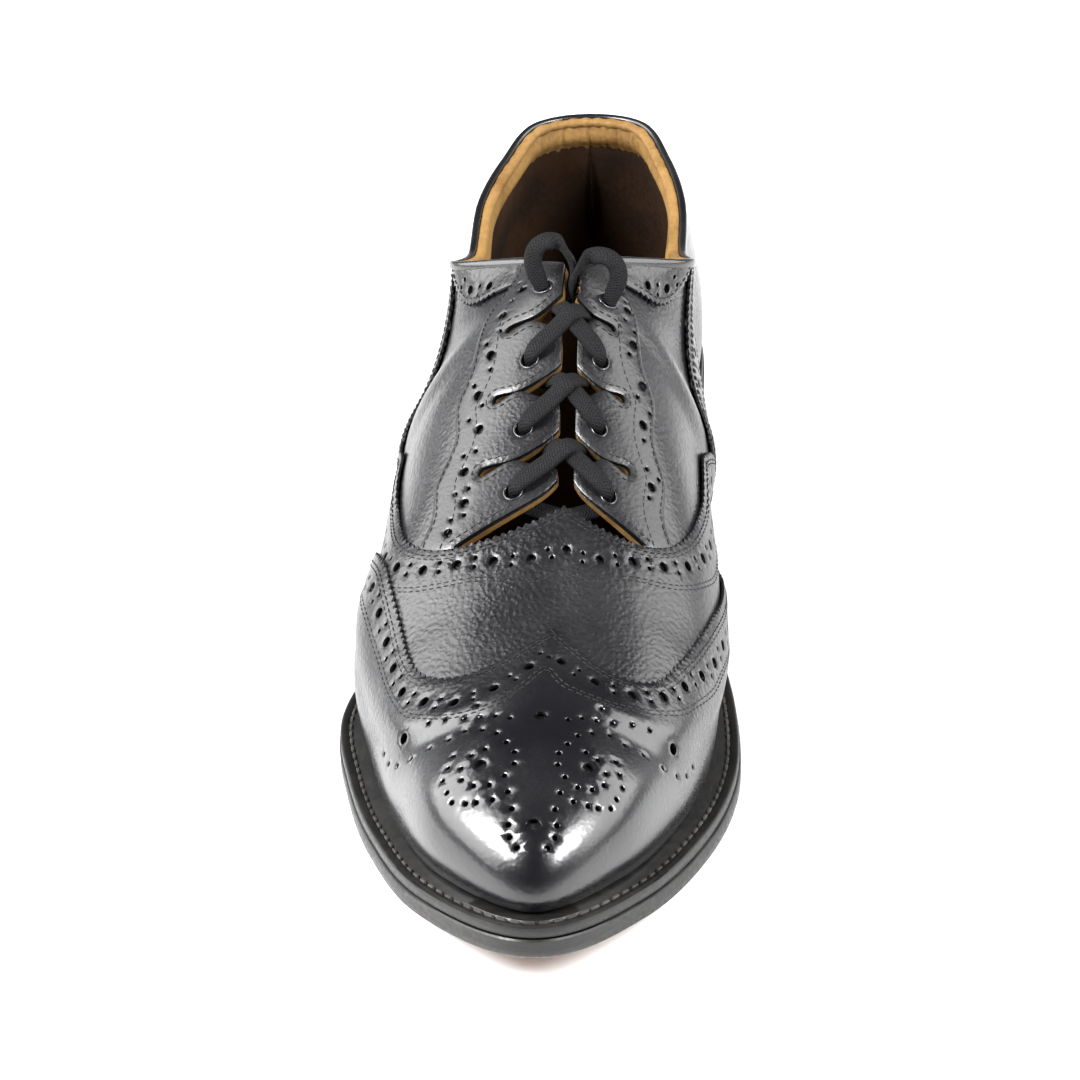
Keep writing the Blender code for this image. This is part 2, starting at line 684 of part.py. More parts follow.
def smooth_line(points, pieces):
    """A smooth line through points, and the values that go with them."""
    points = np.asarray(points, float)
    ends = np.vstack([2 * points[0] - points[1], points, 2 * points[-1] - points[-2]])
    line = []
    for k in range(1, len(ends) - 2):
        a, b, c, d = ends[k - 1:k + 3]
        for t in np.linspace(0, 1, pieces, endpoint=False):
            line.append(.5 * (2 * b + (c - a) * t + (2 * a - 5 * b + 4 * c - d) * t ** 2
                              + (3 * b - a - 3 * c + d) * t ** 3))
    return np.array(line + [points[-1]])


def make_crossing(number):
    """Two strands that come up through a pair of tabs and cross over the throat above them."""
    above = slits[number - 1]
    strands = []
    for side in (-1, 1):
        hole = lace_holes[number]
        middle = pattern.draw(on_side(side, above.row + .40), 1)
        far = pattern.draw(on_side(-side, above.row + .31), .955)
        flat = smooth_line([pattern.draw(on_side(side, hole[0]), hole[1]), middle, far], 4)
        found = pattern.find(flat)
        lift = clearance * 1.5 + lace_thickness / 2 + side * .0001 + .0006 * np.sin(np.linspace(0, pi, len(flat)))
        spots = lifted(found[:, 0], found[:, 1], lift)
        strands.append(sweep(f"lace_crossing_{number}" if side < 0 else "strand", spots,
                             skin_normal(found[:, 0], found[:, 1])))
    first, second = strands
    union = first.modifiers.new("union", "BOOLEAN")
    union.operation = "UNION"
    union.solver = "MANIFOLD"
    union.object = second
    shoe_parts.objects.unlink(second)
    cutters.objects.link(second)
    second.parent = shoe
    second.name = f"strand_{number}"
    second.hide_render = True
    second.display_type = "WIRE"


def make_laces():
    for number in (3, 2, 1):
        make_crossing(number)
    for side, name in ((-1, "lace_loop_lateral"), (1, "lace_loop_medial")):
        spots = []
        for row, share, lift, rise, back in loop_path:
            place = np.array([on_side(side, row)])
            share = np.array([share])
            spots.append(lifted(place, share, np.array([lift]))[0] + np.array([0, back, rise]))
        line = smooth_line(spots, 2)
        centre = line.mean(axis=0)
        sweep(name, line, unit(line - centre))


def make_sole():
    edge = round_sole(lambda reach: reach)
    bevelled = round_sole(lambda reach: reach - outsole_bevel)
    make_solid("outsole", [
        level(bevelled, sole_bottom),
        level(edge, lambda a: sole_bottom(a) + outsole_bevel),
        level(edge, lambda a: sole_bottom(a) + outsole_thickness),
    ], True, sole_leather)

    welt_edge = round_sole(lambda reach: reach - welt_set_back)
    welt_inner = round_sole(welt_inner_reach)
    welt_bottom = outsole_thickness + clearance
    welt_top = welt_bottom + welt_thickness
    make_solid("welt", [
        level(welt_inner, lambda a: sole_bottom(a) + welt_bottom),
        level(welt_edge, lambda a: sole_bottom(a) + welt_bottom),
        level(welt_edge, lambda a: sole_bottom(a) + welt_top),
        level(welt_inner, lambda a: sole_bottom(a) + welt_top),
    ], False, edge_black)

    inner_wall = overlay_thickness + layer_gap + upper_wall
    rim = round_sole(-(inner_wall + 3 * clearance))
    boss = round_sole(welt_inner_reach - 2 * clearance)
    make_solid("insole", [
        level(boss, lambda a: sole_bottom(a) + welt_bottom),
        level(boss, seat),
        level(rim, seat),
        level(rim, lambda a: seat(a) + insole_thickness),
    ], True, tan_leather)


def heel_ring(inset, height):
    """The heel's outline at one height: the sole's edge back from the breast, and the curved breast."""
    edge = round_sole(lambda reach: reach - inset, 240)
    back = edge[-edge[:, 1] <= heel_length]
    order = np.argsort(np.arctan2(back[:, 0], back[:, 1] + heel_length))
    back = spaced(back[order], .0042)
    start, end = back[-1], back[0]
    breast = []
    for t in np.linspace(0, 1, 7)[1:-1]:
        point = start * (1 - t) + end * t
        breast.append(point + np.array([0, heel_breast_curve * sin(pi * t)]))
    outline = np.vstack([back, breast])
    return np.column_stack([outline, height(-outline[:, 1])])


def make_heel():
    """The stacked lifts, and the tread piece under them."""
    stack_foot = top_piece_thickness + clearance
    low = heel_ring(heel_taper, lambda a: np.full(len(a), stack_foot))
    count = len(low)
    high = np.array(low)
    toward = heel_ring(0, lambda a: sole_bottom(a) - clearance)
    if len(toward) != count:
        toward = low
    high[:, :2] = toward[:, :2]
    high[:, 2] = sole_bottom(-high[:, 1]) - clearance
    lofted_heel("heel_stack", low, high)
    tread = heel_ring(heel_taper, lambda a: np.zeros(len(a)))
    tread_top = tread + np.array([0, 0, top_piece_thickness])
    lofted_heel("heel_top_piece", tread, tread_top, heel_rubber)


def lofted_heel(name, low, high, material=None):
    count = len(low)
    faces = [tuple(range(count))[::-1]]
    faces += [(k, (k + 1) % count, count + (k + 1) % count, count + k) for k in range(count)]
    faces += [tuple(range(count, 2 * count))]
    obj = new_object(name, np.vstack([low, high]), faces, material or edge_black)
    turn_outwards(obj)
    return obj


def new_material(name, colour, roughness, metallic=0.0):
    material = bpy.data.materials.new(name)
    material.use_nodes = True
    shader = material.node_tree.nodes["Principled BSDF"]
    shader.inputs["Base Color"].default_value = (*colour, 1)
    shader.inputs["Roughness"].default_value = roughness
    shader.inputs["Metallic"].default_value = metallic
    return material


def new_collection(name):
    collection = bpy.data.collections.new(name)
    bpy.context.scene.collection.children.link(collection)
    return collection


for old in list(bpy.data.objects):
    bpy.data.objects.remove(old)
shoe_parts = new_collection("brogue_shoe")
cutters = new_collection("cutters")
shoe = bpy.data.objects.new("shoe", None)
shoe_parts.objects.link(shoe)

leather = new_material("black_leather", (.012, .012, .013), .30)
patent = new_material("black_polished", (.010, .010, .011), .22)
tan_leather = new_material("tan_lining", (.50, .30, .12), .60)
sole_leather = new_material("sole_leather", (.22, .10, .045), .55)
edge_black = new_material("edge_black", (.014, .013, .012), .40)
heel_rubber = new_material("heel_rubber", (.018, .018, .018), .70)
lace_black = new_material("lace_black", (.012, .012, .013), .65)

make_sole()
make_heel()
make_upper()
make_facings()
make_vamp()
make_wing_cap()
make_counter()
make_collar_pieces()
make_laces()

# The origin is under the middle of the shoe, on the floor.
dimensions = [obj.matrix_world @ Vector(c) for obj in shoe_parts.objects if obj.type == "MESH" for c in obj.bound_box]
shoe.location = (
    -(min(c.x for c in dimensions) + max(c.x for c in dimensions)) / 2,
    -(min(c.y for c in dimensions) + max(c.y for c in dimensions)) / 2,
    0,
)
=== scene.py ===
from collections import namedtuple
from math import cos, pi, radians, sin

import bmesh
import bpy
import numpy as np
from mathutils import Matrix, Vector
from mathutils.bvhtree import BVHTree
from mathutils.geometry import delaunay_2d_cdt


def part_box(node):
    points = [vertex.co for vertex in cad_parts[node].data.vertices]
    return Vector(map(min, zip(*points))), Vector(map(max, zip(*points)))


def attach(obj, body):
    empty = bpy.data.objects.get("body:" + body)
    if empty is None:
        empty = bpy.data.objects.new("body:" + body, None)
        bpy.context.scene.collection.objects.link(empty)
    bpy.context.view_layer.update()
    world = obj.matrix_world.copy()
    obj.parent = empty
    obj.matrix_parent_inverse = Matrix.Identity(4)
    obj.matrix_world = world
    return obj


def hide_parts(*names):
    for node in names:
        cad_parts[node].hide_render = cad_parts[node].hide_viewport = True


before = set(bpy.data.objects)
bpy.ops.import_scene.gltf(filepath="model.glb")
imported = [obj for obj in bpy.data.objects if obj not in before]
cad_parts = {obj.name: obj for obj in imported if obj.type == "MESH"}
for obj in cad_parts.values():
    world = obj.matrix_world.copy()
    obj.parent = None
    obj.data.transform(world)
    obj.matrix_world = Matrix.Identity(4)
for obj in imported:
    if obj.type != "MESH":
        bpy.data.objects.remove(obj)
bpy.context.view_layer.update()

# The last, in metres: the toe points to -Y and the heel's back is at y = 0 until the shoe is placed
feather = dict(length=.297, ball=.087, heel=.062)
heights = dict(back=.060, instep=.084, toe=.029)
sole = dict(heel=.027, spring=.009, outsole=.0055, bevel=.0012, welt=.0030, gap=.0003,
            levelTo=.06, treadFrom=.635, treadTo=.745, springPower=1.7)
leather = dict(overlay=.0010, under=.0017, wall=.0020, capLift=.0015, capFlat=.0125, capRamp=.0085,
               overlap=.0065, rim=.012)

Row = namedtuple("Row", "name along lateral medial width topAlong topOut shift top height"
                        " fanOut fanBack drop flare wall crown reach")
rows = (
    Row("heel back", .000, .000, .000, "heel", .022, .000, .000, .940, "back", 0, 1, 80, 14, .36, .36, .0015),
    Row("heel curve", .027, .355, .355, "heel", .042, .265, .000, .930, "back", .62, .79, 80, 13, .36, .36, .0015),
    Row("heel side", .103, .500, .500, "heel", .103, .390, .000, .880, "back", .98, .21, 78, 10, .36, .36, .0015),
    Row("seat front", .197, .530, .516, "heel", .190, .470, .000, .890, "back", 1, -.05, 76, 13, .36, .36, .0020),
    Row("ankle", .298, .500, .460, "heel", .278, .480, .000, .905, "back", .99, -.14, 72, 20, .36, .38, .0030),
    Row("waist", .399, .398, .320, "ball", .356, .500, .000, 1.12, "back", .91, -.41, 62, 38, .36, .42, .0040),
    Row("instep", .500, .439, .323, "ball", .440, .000, .024, 1.00, "instep", .84, -.54, 0, 36, .42, .56, .0055),
    Row("throat", .594, .498, .393, "ball", .507, .000, .027, .913, "instep", .86, -.51, 0, 28, .45, .58, .0070),
    Row("joint", .685, .560, .437, "ball", .582, .000, .028, .758, "instep", .85, -.53, 0, 22, .48, .60, .0070),
    Row("vamp", .769, .507, .435, "ball", .656, .000, .028, .611, "instep", .81, -.59, 0, 12, .52, .62, .0070),
    Row("cap", .857, .414, .366, "ball", .740, .000, .014, .470, "instep", .74, -.67, 0, 11, .60, .66, .0065),
    Row("toe corner", .944, .258, .222, "ball", .828, .000, .002, 1.20, "toe", .50, -.87, 0, 13, .70, .74, .0065),
    Row("toe tip", 1.003, .000, .000, "ball", .895, .000, .000, 1.00, "toe", 0, -1, 0, 5, .54, .50, .0065),
)
firstRidgeRow = 6
lastRow = len(rows) - 1
loopRows = 2 * lastRow

# Pattern lines: (row, share of the way from the feather line up to the ridge or collar)
lines = dict(
    wingLateral=((5.35, .012), (5.9, .10), (6.6, .20), (7.2, .31), (7.8, .43), (8.25, .465), (8.8, .466),
                 (9.15, .475), (9.42, .505), (9.70, .575), (9.95, .68), (10.10, .79), (10.17, .90), (10.2, 1)),
    wingMedial=((5.35, .012), (5.9, .09), (6.6, .16), (7.3, .24), (8.0, .325), (8.6, .39), (9.2, .465),
                (9.65, .545), (9.95, .66), (10.12, .79), (10.17, .90), (10.2, 1)),
    wingHolesLateral=((6.0, .035), (6.6, .13), (7.2, .24), (7.91, .385), (8.24, .408), (8.8, .406), (9.2, .415),
                      (9.5, .435), (9.85, .52), (10.23, .656), (10.5, .84), (10.56, 1)),
    wingHolesMedial=((6.1, .04), (6.6, .095), (7.2, .165), (7.7, .215), (8.3, .275), (8.79, .32), (9.22, .40),
                     (9.62, .47), (10.07, .632), (10.40, .832), (10.56, 1)),
    wingFootLateral=((6.3, .06), (7.0, .16), (7.5, .26), (7.99, .335), (8.6, .352), (9.24, .363), (9.72, .414),
                     (10.03, .50), (10.39, .636), (10.68, .80), (10.80, .92), (10.82, 1)),
    wingFootMedial=((6.23, .03), (7.18, .115), (8.3, .215), (8.87, .26), (9.3, .325), (9.67, .40), (10.09, .549),
                    (10.45, .72), (10.76, .90), (10.82, 1)),
    vamp=((5.62, .345), (5.95, .338), (6.4, .345), (6.85, .38), (7.3, .43), (7.75, .50), (8.12, .585),
          (8.40, .68), (8.62, .80), (8.76, .92), (8.82, 1)),
    vampHoles=((5.75, .275), (6.2, .272), (6.85, .31), (7.4, .37), (7.85, .45), (8.25, .55), (8.52, .65),
               (8.80, .76), (9.06, .86), (9.22, .94), (9.27, 1)),
    vampFoot=((5.6, .215), (6.0, .20), (6.85, .245), (7.5, .31), (8.0, .41), (8.35, .50), (8.62, .592),
              (8.95, .73), (9.28, .85), (9.46, .93), (9.52, 1)),
    counter=((4.7, 1), (4.95, .82), (5.2, .62), (5.45, .45), (5.55, .33), (5.42, .17), (5.1, .012)),
    facing=((5.55, 1), (5.70, .88), (5.90, .73), (6.38, .665), (6.75, .63), (7.2, .645), (7.5, .60),
            (7.85, .605), (8.05, .565)),
    collar=((4.8, 1), (4.98, .95), (5.2, .905), (5.4, .885), (5.58, .90)),
    backstay=((1.05, 1), (1.05, .90), (.88, .76), (.5, .67), (0, .65)),
)
facingHoles = {
    -1: dict(big=((5.65, .93), (5.92, .85), (6.08, .76), (6.51, .73), (6.89, .71), (7.31, .73), (7.65, .70),
                  (7.99, .71), (8.17, .66)),
             small=((5.78, .89), (5.98, .80), (6.28, .75), (6.30, .71), (6.70, .74), (6.72, .69), (7.06, .73),
                    (7.10, .69), (7.47, .69), (7.53, .73), (7.82, .68), (7.87, .72), (8.06, .67), (8.12, .71))),
    1: dict(big=((5.80, .85), (5.93, .76), (6.29, .70), (6.71, .68), (7.16, .69), (7.42, .64), (7.70, .66),
                 (7.95, .62)),
            small=((5.70, .90), (5.86, .80), (6.08, .74), (6.10, .70), (6.48, .72), (6.50, .67), (6.92, .71),
                   (6.94, .66), (7.26, .65), (7.32, .69), (7.54, .63), (7.58, .68), (7.82, .62), (7.84, .67))),
}
Slit = namedtuple("Slit", "row share")
slits = (Slit(6.35, .765), Slit(7.12, .76), Slit(7.80, .745), Slit(8.36, .675))
tabUpperEdge = ((.10, .84), (.28, .90), (.48, .962), (.62, .985))
tabLowerEdge = ((.08, .978), (.13, .935), (.10, .85))
topTabEdge = ((5.62, 1), (5.90, 1), (6.08, .992), (6.24, .968), (6.36, .925), (6.42, .86))
slitWidth, tabApart = .09, .0046
laceHoles = {-1: ((6.10, .885), (6.96, .87), (7.66, .87), (8.26, .85)),
             1: ((6.08, .81), (6.96, .86), (7.66, .87), (8.26, .83))}

# The toe medallion in millimetres on the flat pattern, its outer half: (from the middle line, forward)
medallionSmall = (
    (27.5, 135.5), (22.5, 137), (17.5, 139), (14.5, 136), (13.5, 140), (10, 140.5), (6.5, 142), (12.5, 145),
    (17, 143.5), (9, 147), (21, 144.5), (26.5, 144), (6.5, 150), (4.5, 153), (4.3, 156.5), (11, 152),
    (14, 153.5), (18.5, 152), (19.5, 155.5), (16, 157), (20.5, 159), (15.5, 160.5), (12.5, 162.5), (9, 162.5),
    (6, 160), (5, 164.5), (8, 166.5), (19, 163), (17.5, 166), (14, 167), (11.5, 167), (4, 169), (4.5, 173),
    (4.2, 176), (2.8, 178.5), (33, 143), (39, 141), (43.5, 137.5), (46, 133),
)
medallionBig = ((11.5, 156.5), (36, 135))
medallionMiddle = (141, 173)


def unit(vectors):
    return vectors / np.maximum(np.linalg.norm(vectors, axis=-1, keepdims=True), 1e-12)


def ease(share):
    share = np.clip(share, 0, 1)
    return share * share * (3 - 2 * share)


def runOf(line):
    # How far along a line each of its points lies.
    return np.concatenate([[0], np.cumsum(np.linalg.norm(np.diff(line, axis=0), axis=1))])


def soleBottom(along):
    share = np.asarray(along) / feather["length"]
    pitch = sole["heel"] * ease((sole["treadFrom"] - share) / (sole["treadFrom"] - sole["levelTo"]))
    rise = np.clip((share - sole["treadTo"]) / (1 - sole["treadTo"]), 0, None) ** sole["springPower"]
    return pitch + sole["spring"] * rise


def seat(along):
    return soleBottom(along) + sole["outsole"] + sole["welt"] + 2 * sole["gap"]


def rowTable():
    table = []
    for place in range(loopRows):
        side = -1 if place <= lastRow else 1
        row = rows[place if place <= lastRow else loopRows - place]
        table.append((
            row.along * feather["length"],
            side * (row.lateral if side < 0 else row.medial) * feather[row.width],
            row.topAlong * feather["length"],
            side * row.topOut * feather["heel"] + row.shift * feather["ball"],
            row.top * heights[row.height],
            row.drop, row.flare, row.wall, row.crown, side * row.fanOut, row.fanBack, row.reach,
        ))
    return np.array(table)


table = rowTable()


def splined(points, t):
    # Catmull-Rom: the curve between the middle two of four points.
    a, b, c, d = points
    return .5 * (2 * b + (c - a) * t + (2 * a - 5 * b + 4 * c - d) * t ** 2 + (3 * b - a - 3 * c + d) * t ** 3)


def roundLast(place):
    place = np.asarray(place, float)
    start = np.floor(place).astype(int)
    return splined([table[(start + step) % loopRows] for step in (-1, 0, 1, 2)], (place - start)[..., None])


ridgeRows = [row for row in rows if row.drop == 0]
ridgeAlong = np.array([row.topAlong * feather["length"] for row in ridgeRows])
ridgeHeight = np.array([seat(row.topAlong * feather["length"]) + row.top * heights[row.height]
                        for row in ridgeRows])
ridgeSlope = np.gradient(ridgeHeight, ridgeAlong)
ridgeOffset = np.array([row.shift * feather["ball"] for row in ridgeRows])
ridgeRun = np.concatenate([[0], np.cumsum(np.hypot(np.diff(ridgeAlong), np.diff(ridgeHeight)))])


def featherNormal(place):
    change = roundLast(np.asarray(place) + .02) - roundLast(np.asarray(place) - .02)
    return unit(np.stack([-change[..., 0], -change[..., 1]], -1))


def skin(place, share):
    # The surface of the finished upper: place round the last, share from the feather line to the top.
    place, share = np.broadcast_arrays(np.asarray(place, float), np.asarray(share, float))
    row = roundLast(place)
    foot = np.stack([row[..., 1], -row[..., 0], seat(row[..., 0])], -1)
    top = np.stack([row[..., 3], -row[..., 2], seat(row[..., 2]) + row[..., 4]], -1)
    rise = top[..., 2] - foot[..., 2]
    drop = np.radians(np.maximum(row[..., 5], 0))
    wall = foot.copy()
    wall[..., 2] += row[..., 7] * rise
    wall[..., :2] += featherNormal(place) * (row[..., 7] * rise * np.tan(np.radians(row[..., 6])))[..., None]
    run = foot[..., :2] - top[..., :2]
    reach = np.linalg.norm(run, axis=-1)
    run = run / np.maximum(reach, 1e-9)[..., None]
    slope = np.interp(-top[..., 1], ridgeAlong, ridgeSlope)
    level = unit(np.stack([run[..., 0], run[..., 1], slope * -run[..., 1]], -1))
    leave = np.cos(drop)[..., None] * level - np.sin(drop)[..., None] * np.array([0, 0, 1.0])
    crown = top + leave * (row[..., 8] * (np.cos(drop) * reach + np.sin(drop) * rise))[..., None]
    t = share[..., None]
    return foot * (1 - t) ** 3 + 3 * wall * t * (1 - t) ** 2 + 3 * crown * t ** 2 * (1 - t) + top * t ** 3


def skinNormal(place, share):
    share = np.clip(share, 0, .985)
    around = skin(place + .01, share) - skin(place - .01, share)
    up = skin(place, np.minimum(share + .01, 1)) - skin(place, np.maximum(share - .01, 0))
    return unit(np.cross(around, up))


def onSide(side, row):
    return row if side < 0 else loopRows - row


class Pattern:
    # The upper laid flat, where its panels are drawn, cut and punched.
    places, shares = 480, 40

    def __init__(self):
        self.place = np.arange(self.places + 1) * loopRows / self.places
        self.share = np.linspace(0, 1, self.shares + 1)
        grid = skin(self.place[:, None], self.share[None, :])
        steps = np.linalg.norm(np.diff(grid, axis=1), axis=-1)
        fromTop = np.zeros(grid.shape[:2])
        fromTop[:, :-1] = np.cumsum(steps[:, ::-1], axis=1)[:, ::-1]
        top = grid[:, -1]
        along = -top[:, 1]
        onRidge = (self.place >= firstRidgeRow) & (self.place <= loopRows - firstRidgeRow)
        ridge = (self.place >= firstRidgeRow) & (self.place <= lastRow)
        front = np.interp(firstRidgeRow, self.place, along)
        down = np.where(onRidge, np.interp(along, along[ridge], runOf(top[ridge])), along - front)
        fan = unit(roundLast(self.place)[:, 9:11])
        self.flat = np.stack([top[:, 0][:, None] + fan[:, 0][:, None] * fromTop,
                              -down[:, None] + fan[:, 1][:, None] * fromTop], -1)
        corners = [Vector((*spot, 0)) for spot in self.flat.reshape(-1, 2)]
        faces, self.spots = [], []
        for i in range(self.places):
            for j in range(self.shares):
                for spots in (((i, j), (i + 1, j), (i + 1, j + 1)), ((i, j), (i + 1, j + 1), (i, j + 1))):
                    faces.append([a * (self.shares + 1) + b for a, b in spots])
                    self.spots.append(spots)
        self.tree = BVHTree.FromPolygons(corners, faces)

    def draw(self, place, share):
        i, j = (place % loopRows) / loopRows * self.places, share * self.shares
        a, b = min(int(i), self.places - 1), min(int(j), self.shares - 1)
        low = self.flat[a, b] * (1 - i + a) + self.flat[a + 1, b] * (i - a)
        high = self.flat[a, b + 1] * (1 - i + a) + self.flat[a + 1, b + 1] * (i - a)
        return low * (1 - j + b) + high * (j - b)

    def find(self, points):
        # Places and shares of flat points.
        hits = [self.tree.find_nearest(Vector((x, y, 0))) for x, y in points]
        spots = np.array([self.spots[hit[2]] for hit in hits])
        near = np.array([hit[0][:2] for hit in hits])
        a, b, c = (self.flat[spots[:, k, 0], spots[:, k, 1]] for k in range(3))
        e, f, g = b - a, c - a, near - a
        area = e[:, 0] * f[:, 1] - e[:, 1] * f[:, 0]
        s = (g[:, 0] * f[:, 1] - g[:, 1] * f[:, 0]) / area
        t = (e[:, 0] * g[:, 1] - e[:, 1] * g[:, 0]) / area
        found = []
        for grid, axis in ((self.place, 0), (self.share, 1)):
            k = [grid[spots[:, n, axis]] for n in range(3)]
            found.append(k[0] + s * (k[1] - k[0]) + t * (k[2] - k[0]))
        return found


pattern = Pattern()

# Soft hollows and swells that wear leaves in the leather: (row, share, side, along, across, depth)
creases = (
    (8.95, .62, -1, .006, .020, -.00012), (9.3, .60, -1, .005, .022, .00010), (8.8, .52, 1, .006, .018, -.00012),
    (9.2, .55, 1, .005, .020, .00010), (5.9, .55, -1, .014, .016, -.00020), (5.7, .55, 1, .014, .016, -.00020),
    (4.2, .6, -1, .014, .018, -.00018), (4.2, .6, 1, .014, .018, -.00018), (1.6, .55, -1, .014, .016, .00015),
    (1.6, .55, 1, .014, .016, .00015), (10.9, .45, -1, .016, .014, .00012), (10.9, .45, 1, .016, .014, -.00012),
)


def wear(flat):
    # How far the leather is pushed out or in by its creases.
    total = np.zeros(len(flat))
    for row, share, side, along, across, depth in creases:
        away = flat - pattern.draw(onSide(side, row), share)
        total += depth * np.exp(-(away[:, 1] / along) ** 2 - (away[:, 0] / across) ** 2)
    return total


def raised(flat, lift):
    # Flat points put on the shoe, a lift above the skin.
    flat = np.asarray(flat, float)
    place, share = pattern.find(flat)
    lift = np.broadcast_to(np.asarray(lift, float), len(flat)) + wear(flat)
    return skin(place, share) + lift[:, None] * skinNormal(place, share) + shift


def spaced(line, step):
    run = runOf(line)
    at = np.linspace(0, run[-1], max(2, int(round(run[-1] / step)) + 1))
    return np.stack([np.interp(at, run, line[:, k]) for k in range(line.shape[1])], -1)


def smoothed(points, pieces=16):
    points = np.asarray(points, float)
    ends = np.vstack([2 * points[0] - points[1], points, 2 * points[-1] - points[-2]])
    line = [splined(ends[k - 1:k + 3], t) for k in range(1, len(ends) - 2)
            for t in np.linspace(0, 1, pieces, endpoint=False)]
    return np.array(line + [points[-1]])


def drawn(side, line, step=.0006):
    return spaced(smoothed([pattern.draw(onSide(side, row), share) for row, share in line]), step)


def flatRow(places, share):
    # Flat points at places round the last, at one share or one each.
    return np.array([pattern.draw(*spot) for spot in zip(places, np.broadcast_to(share, len(places)))])


def edgeLine(side, start, end, share, step=.0012):
    places = np.linspace(onSide(side, start), onSide(side, end), max(3, int(abs(end - start) * 60)))
    return spaced(flatRow(places, share), step)


def footLine(side, start, end):
    return edgeLine(side, start, end, leather["rim"])


def joined(*stretches):
    outline = []
    for point in np.vstack(stretches):
        if not outline or np.linalg.norm(point - outline[-1]) > 1e-4:
            outline.append(point)
    while np.linalg.norm(outline[0] - outline[-1]) < 1e-4:
        outline.pop()
    return np.array(outline)


def partOf(line, start, end):
    i = int(np.argmin(np.linalg.norm(line - start, axis=1)))
    j = int(np.argmin(np.linalg.norm(line - end, axis=1)))
    return line[i:j + 1] if i <= j else line[j:i + 1][::-1]


def sideways(line, amount):
    # A line moved to its left by an amount.
    run = unit(np.gradient(line, axis=0))
    return line + np.stack([-run[:, 1], run[:, 0]], -1) * np.asarray(amount).reshape(-1, 1)


def gimped(line, depth=.0009, pitch=.0021):
    # A line cut with pinking teeth.
    line = spaced(line, pitch / 4)
    wave = np.abs((np.arange(len(line)) % 4) / 2 - 1) * 2 - 1
    wave[:2], wave[-2:] = 0, 0
    return sideways(line, wave * depth / 2)


def inside(points, outline):
    result = []
    a, b = outline, np.roll(outline, -1, axis=0)
    for k in range(0, len(points), 4000):
        x, y = points[k:k + 4000, 0][:, None], points[k:k + 4000, 1][:, None]
        between = (a[:, 1] > y) != (b[:, 1] > y)
        with np.errstate(divide="ignore", invalid="ignore"):
            cross = a[:, 0] + (y - a[:, 1]) * (b[:, 0] - a[:, 0]) / (b[:, 1] - a[:, 1])
        result.append((between & (x < cross)).sum(axis=1) % 2 == 1)
    return np.concatenate(result)


def distanceTo(points, line, closed=False):
    a = line if closed else line[:-1]
    b = np.roll(line, -1, axis=0) if closed else line[1:]
    run = b - a
    length = np.maximum((run * run).sum(-1), 1e-18)
    result = []
    for k in range(0, len(points), 2000):
        away = points[k:k + 2000, None] - a
        t = np.clip((away * run).sum(-1) / length, 0, 1)
        result.append(np.linalg.norm(away - t[..., None] * run, axis=-1).min(axis=1))
    return np.concatenate(result)


def circlePoints(centre, radius, count):
    turn = 2 * pi * (np.arange(count) + .5) / count
    return centre + radius * np.stack([np.cos(turn), np.sin(turn)], -1)


def filled(outline, holes, spacing):
    # Flat points and triangles inside an outline, less round holes of (centre, radius).
    low, high = outline.min(axis=0), outline.max(axis=0)
    rise = spacing * sin(radians(60))
    j, i = np.mgrid[0:int((high[1] - low[1]) / rise) + 1, 0:int((high[0] - low[0]) / spacing) + 1]
    grid = np.stack([low[0] + (i + .5 * (j % 2)) * spacing, low[1] + j * rise], -1).reshape(-1, 2)
    ring = spaced(np.vstack([outline, outline[:1]]), spacing * .8)[:-1]
    ring = np.vstack([sideways(ring, rimWidth), sideways(ring, -rimWidth)])
    ring = ring[inside(ring, outline) & (distanceTo(ring, outline, True) > .7 * rimWidth)]
    keep = inside(grid, outline) & (distanceTo(grid, outline, True) > rimWidth + .5 * spacing)
    grid = np.vstack([grid[keep], ring])
    points, edges = list(outline), [(k, (k + 1) % len(outline)) for k in range(len(outline))]
    for centre, radius in holes:
        away = np.linalg.norm(grid - centre, axis=1)
        grid = grid[away > radius * 1.25 + .0003]
        for size, bound in ((radius, True), (radius * 1.3 + .00015, False)):
            count = 14 if radius > .001 else 8
            circle = circlePoints(centre, size, count)
            if bound:
                edges += [(len(points) + k, len(points) + (k + 1) % count) for k in range(count)]
            elif not inside(circle, outline).all():
                continue
            points.extend(circle)
    points.extend(grid)
    result = delaunay_2d_cdt([Vector(p) for p in points], edges, [], 0, 1e-8)
    flat = np.array([tuple(p) for p in result[0]])
    faces = np.array([f for f in result[2] if len(f) == 3])
    middle = flat[faces].mean(axis=1)
    keep = inside(middle, outline)
    for centre, radius in holes:
        keep &= np.linalg.norm(middle - centre, axis=1) > radius * .97
    return flat, faces[keep]


rimWidth = .0006


def newObject(name, corners, faces, materials, choices=None, uvs=None):
    mesh = bpy.data.meshes.new(name)
    mesh.from_pydata([tuple(c) for c in corners], [], [tuple(int(i) for i in f) for f in faces])
    for material in materials:
        mesh.materials.append(material)
    if choices is not None:
        mesh.polygons.foreach_set("material_index", choices)
    if uvs is not None:
        layer = mesh.uv_layers.new(name="UVMap")
        layer.data.foreach_set("uv", np.asarray(uvs, float).ravel())
    mesh.shade_smooth()
    mesh.set_sharp_from_angle(angle=radians(48))
    obj = bpy.data.objects.new(name, mesh)
    bpy.context.scene.collection.objects.link(obj)
    return obj


def settle(obj, slotName, *nodes):
    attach(obj, "root")
    if nodes:
        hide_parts(*nodes)
    print(obj.name, len(obj.data.polygons))
    return obj


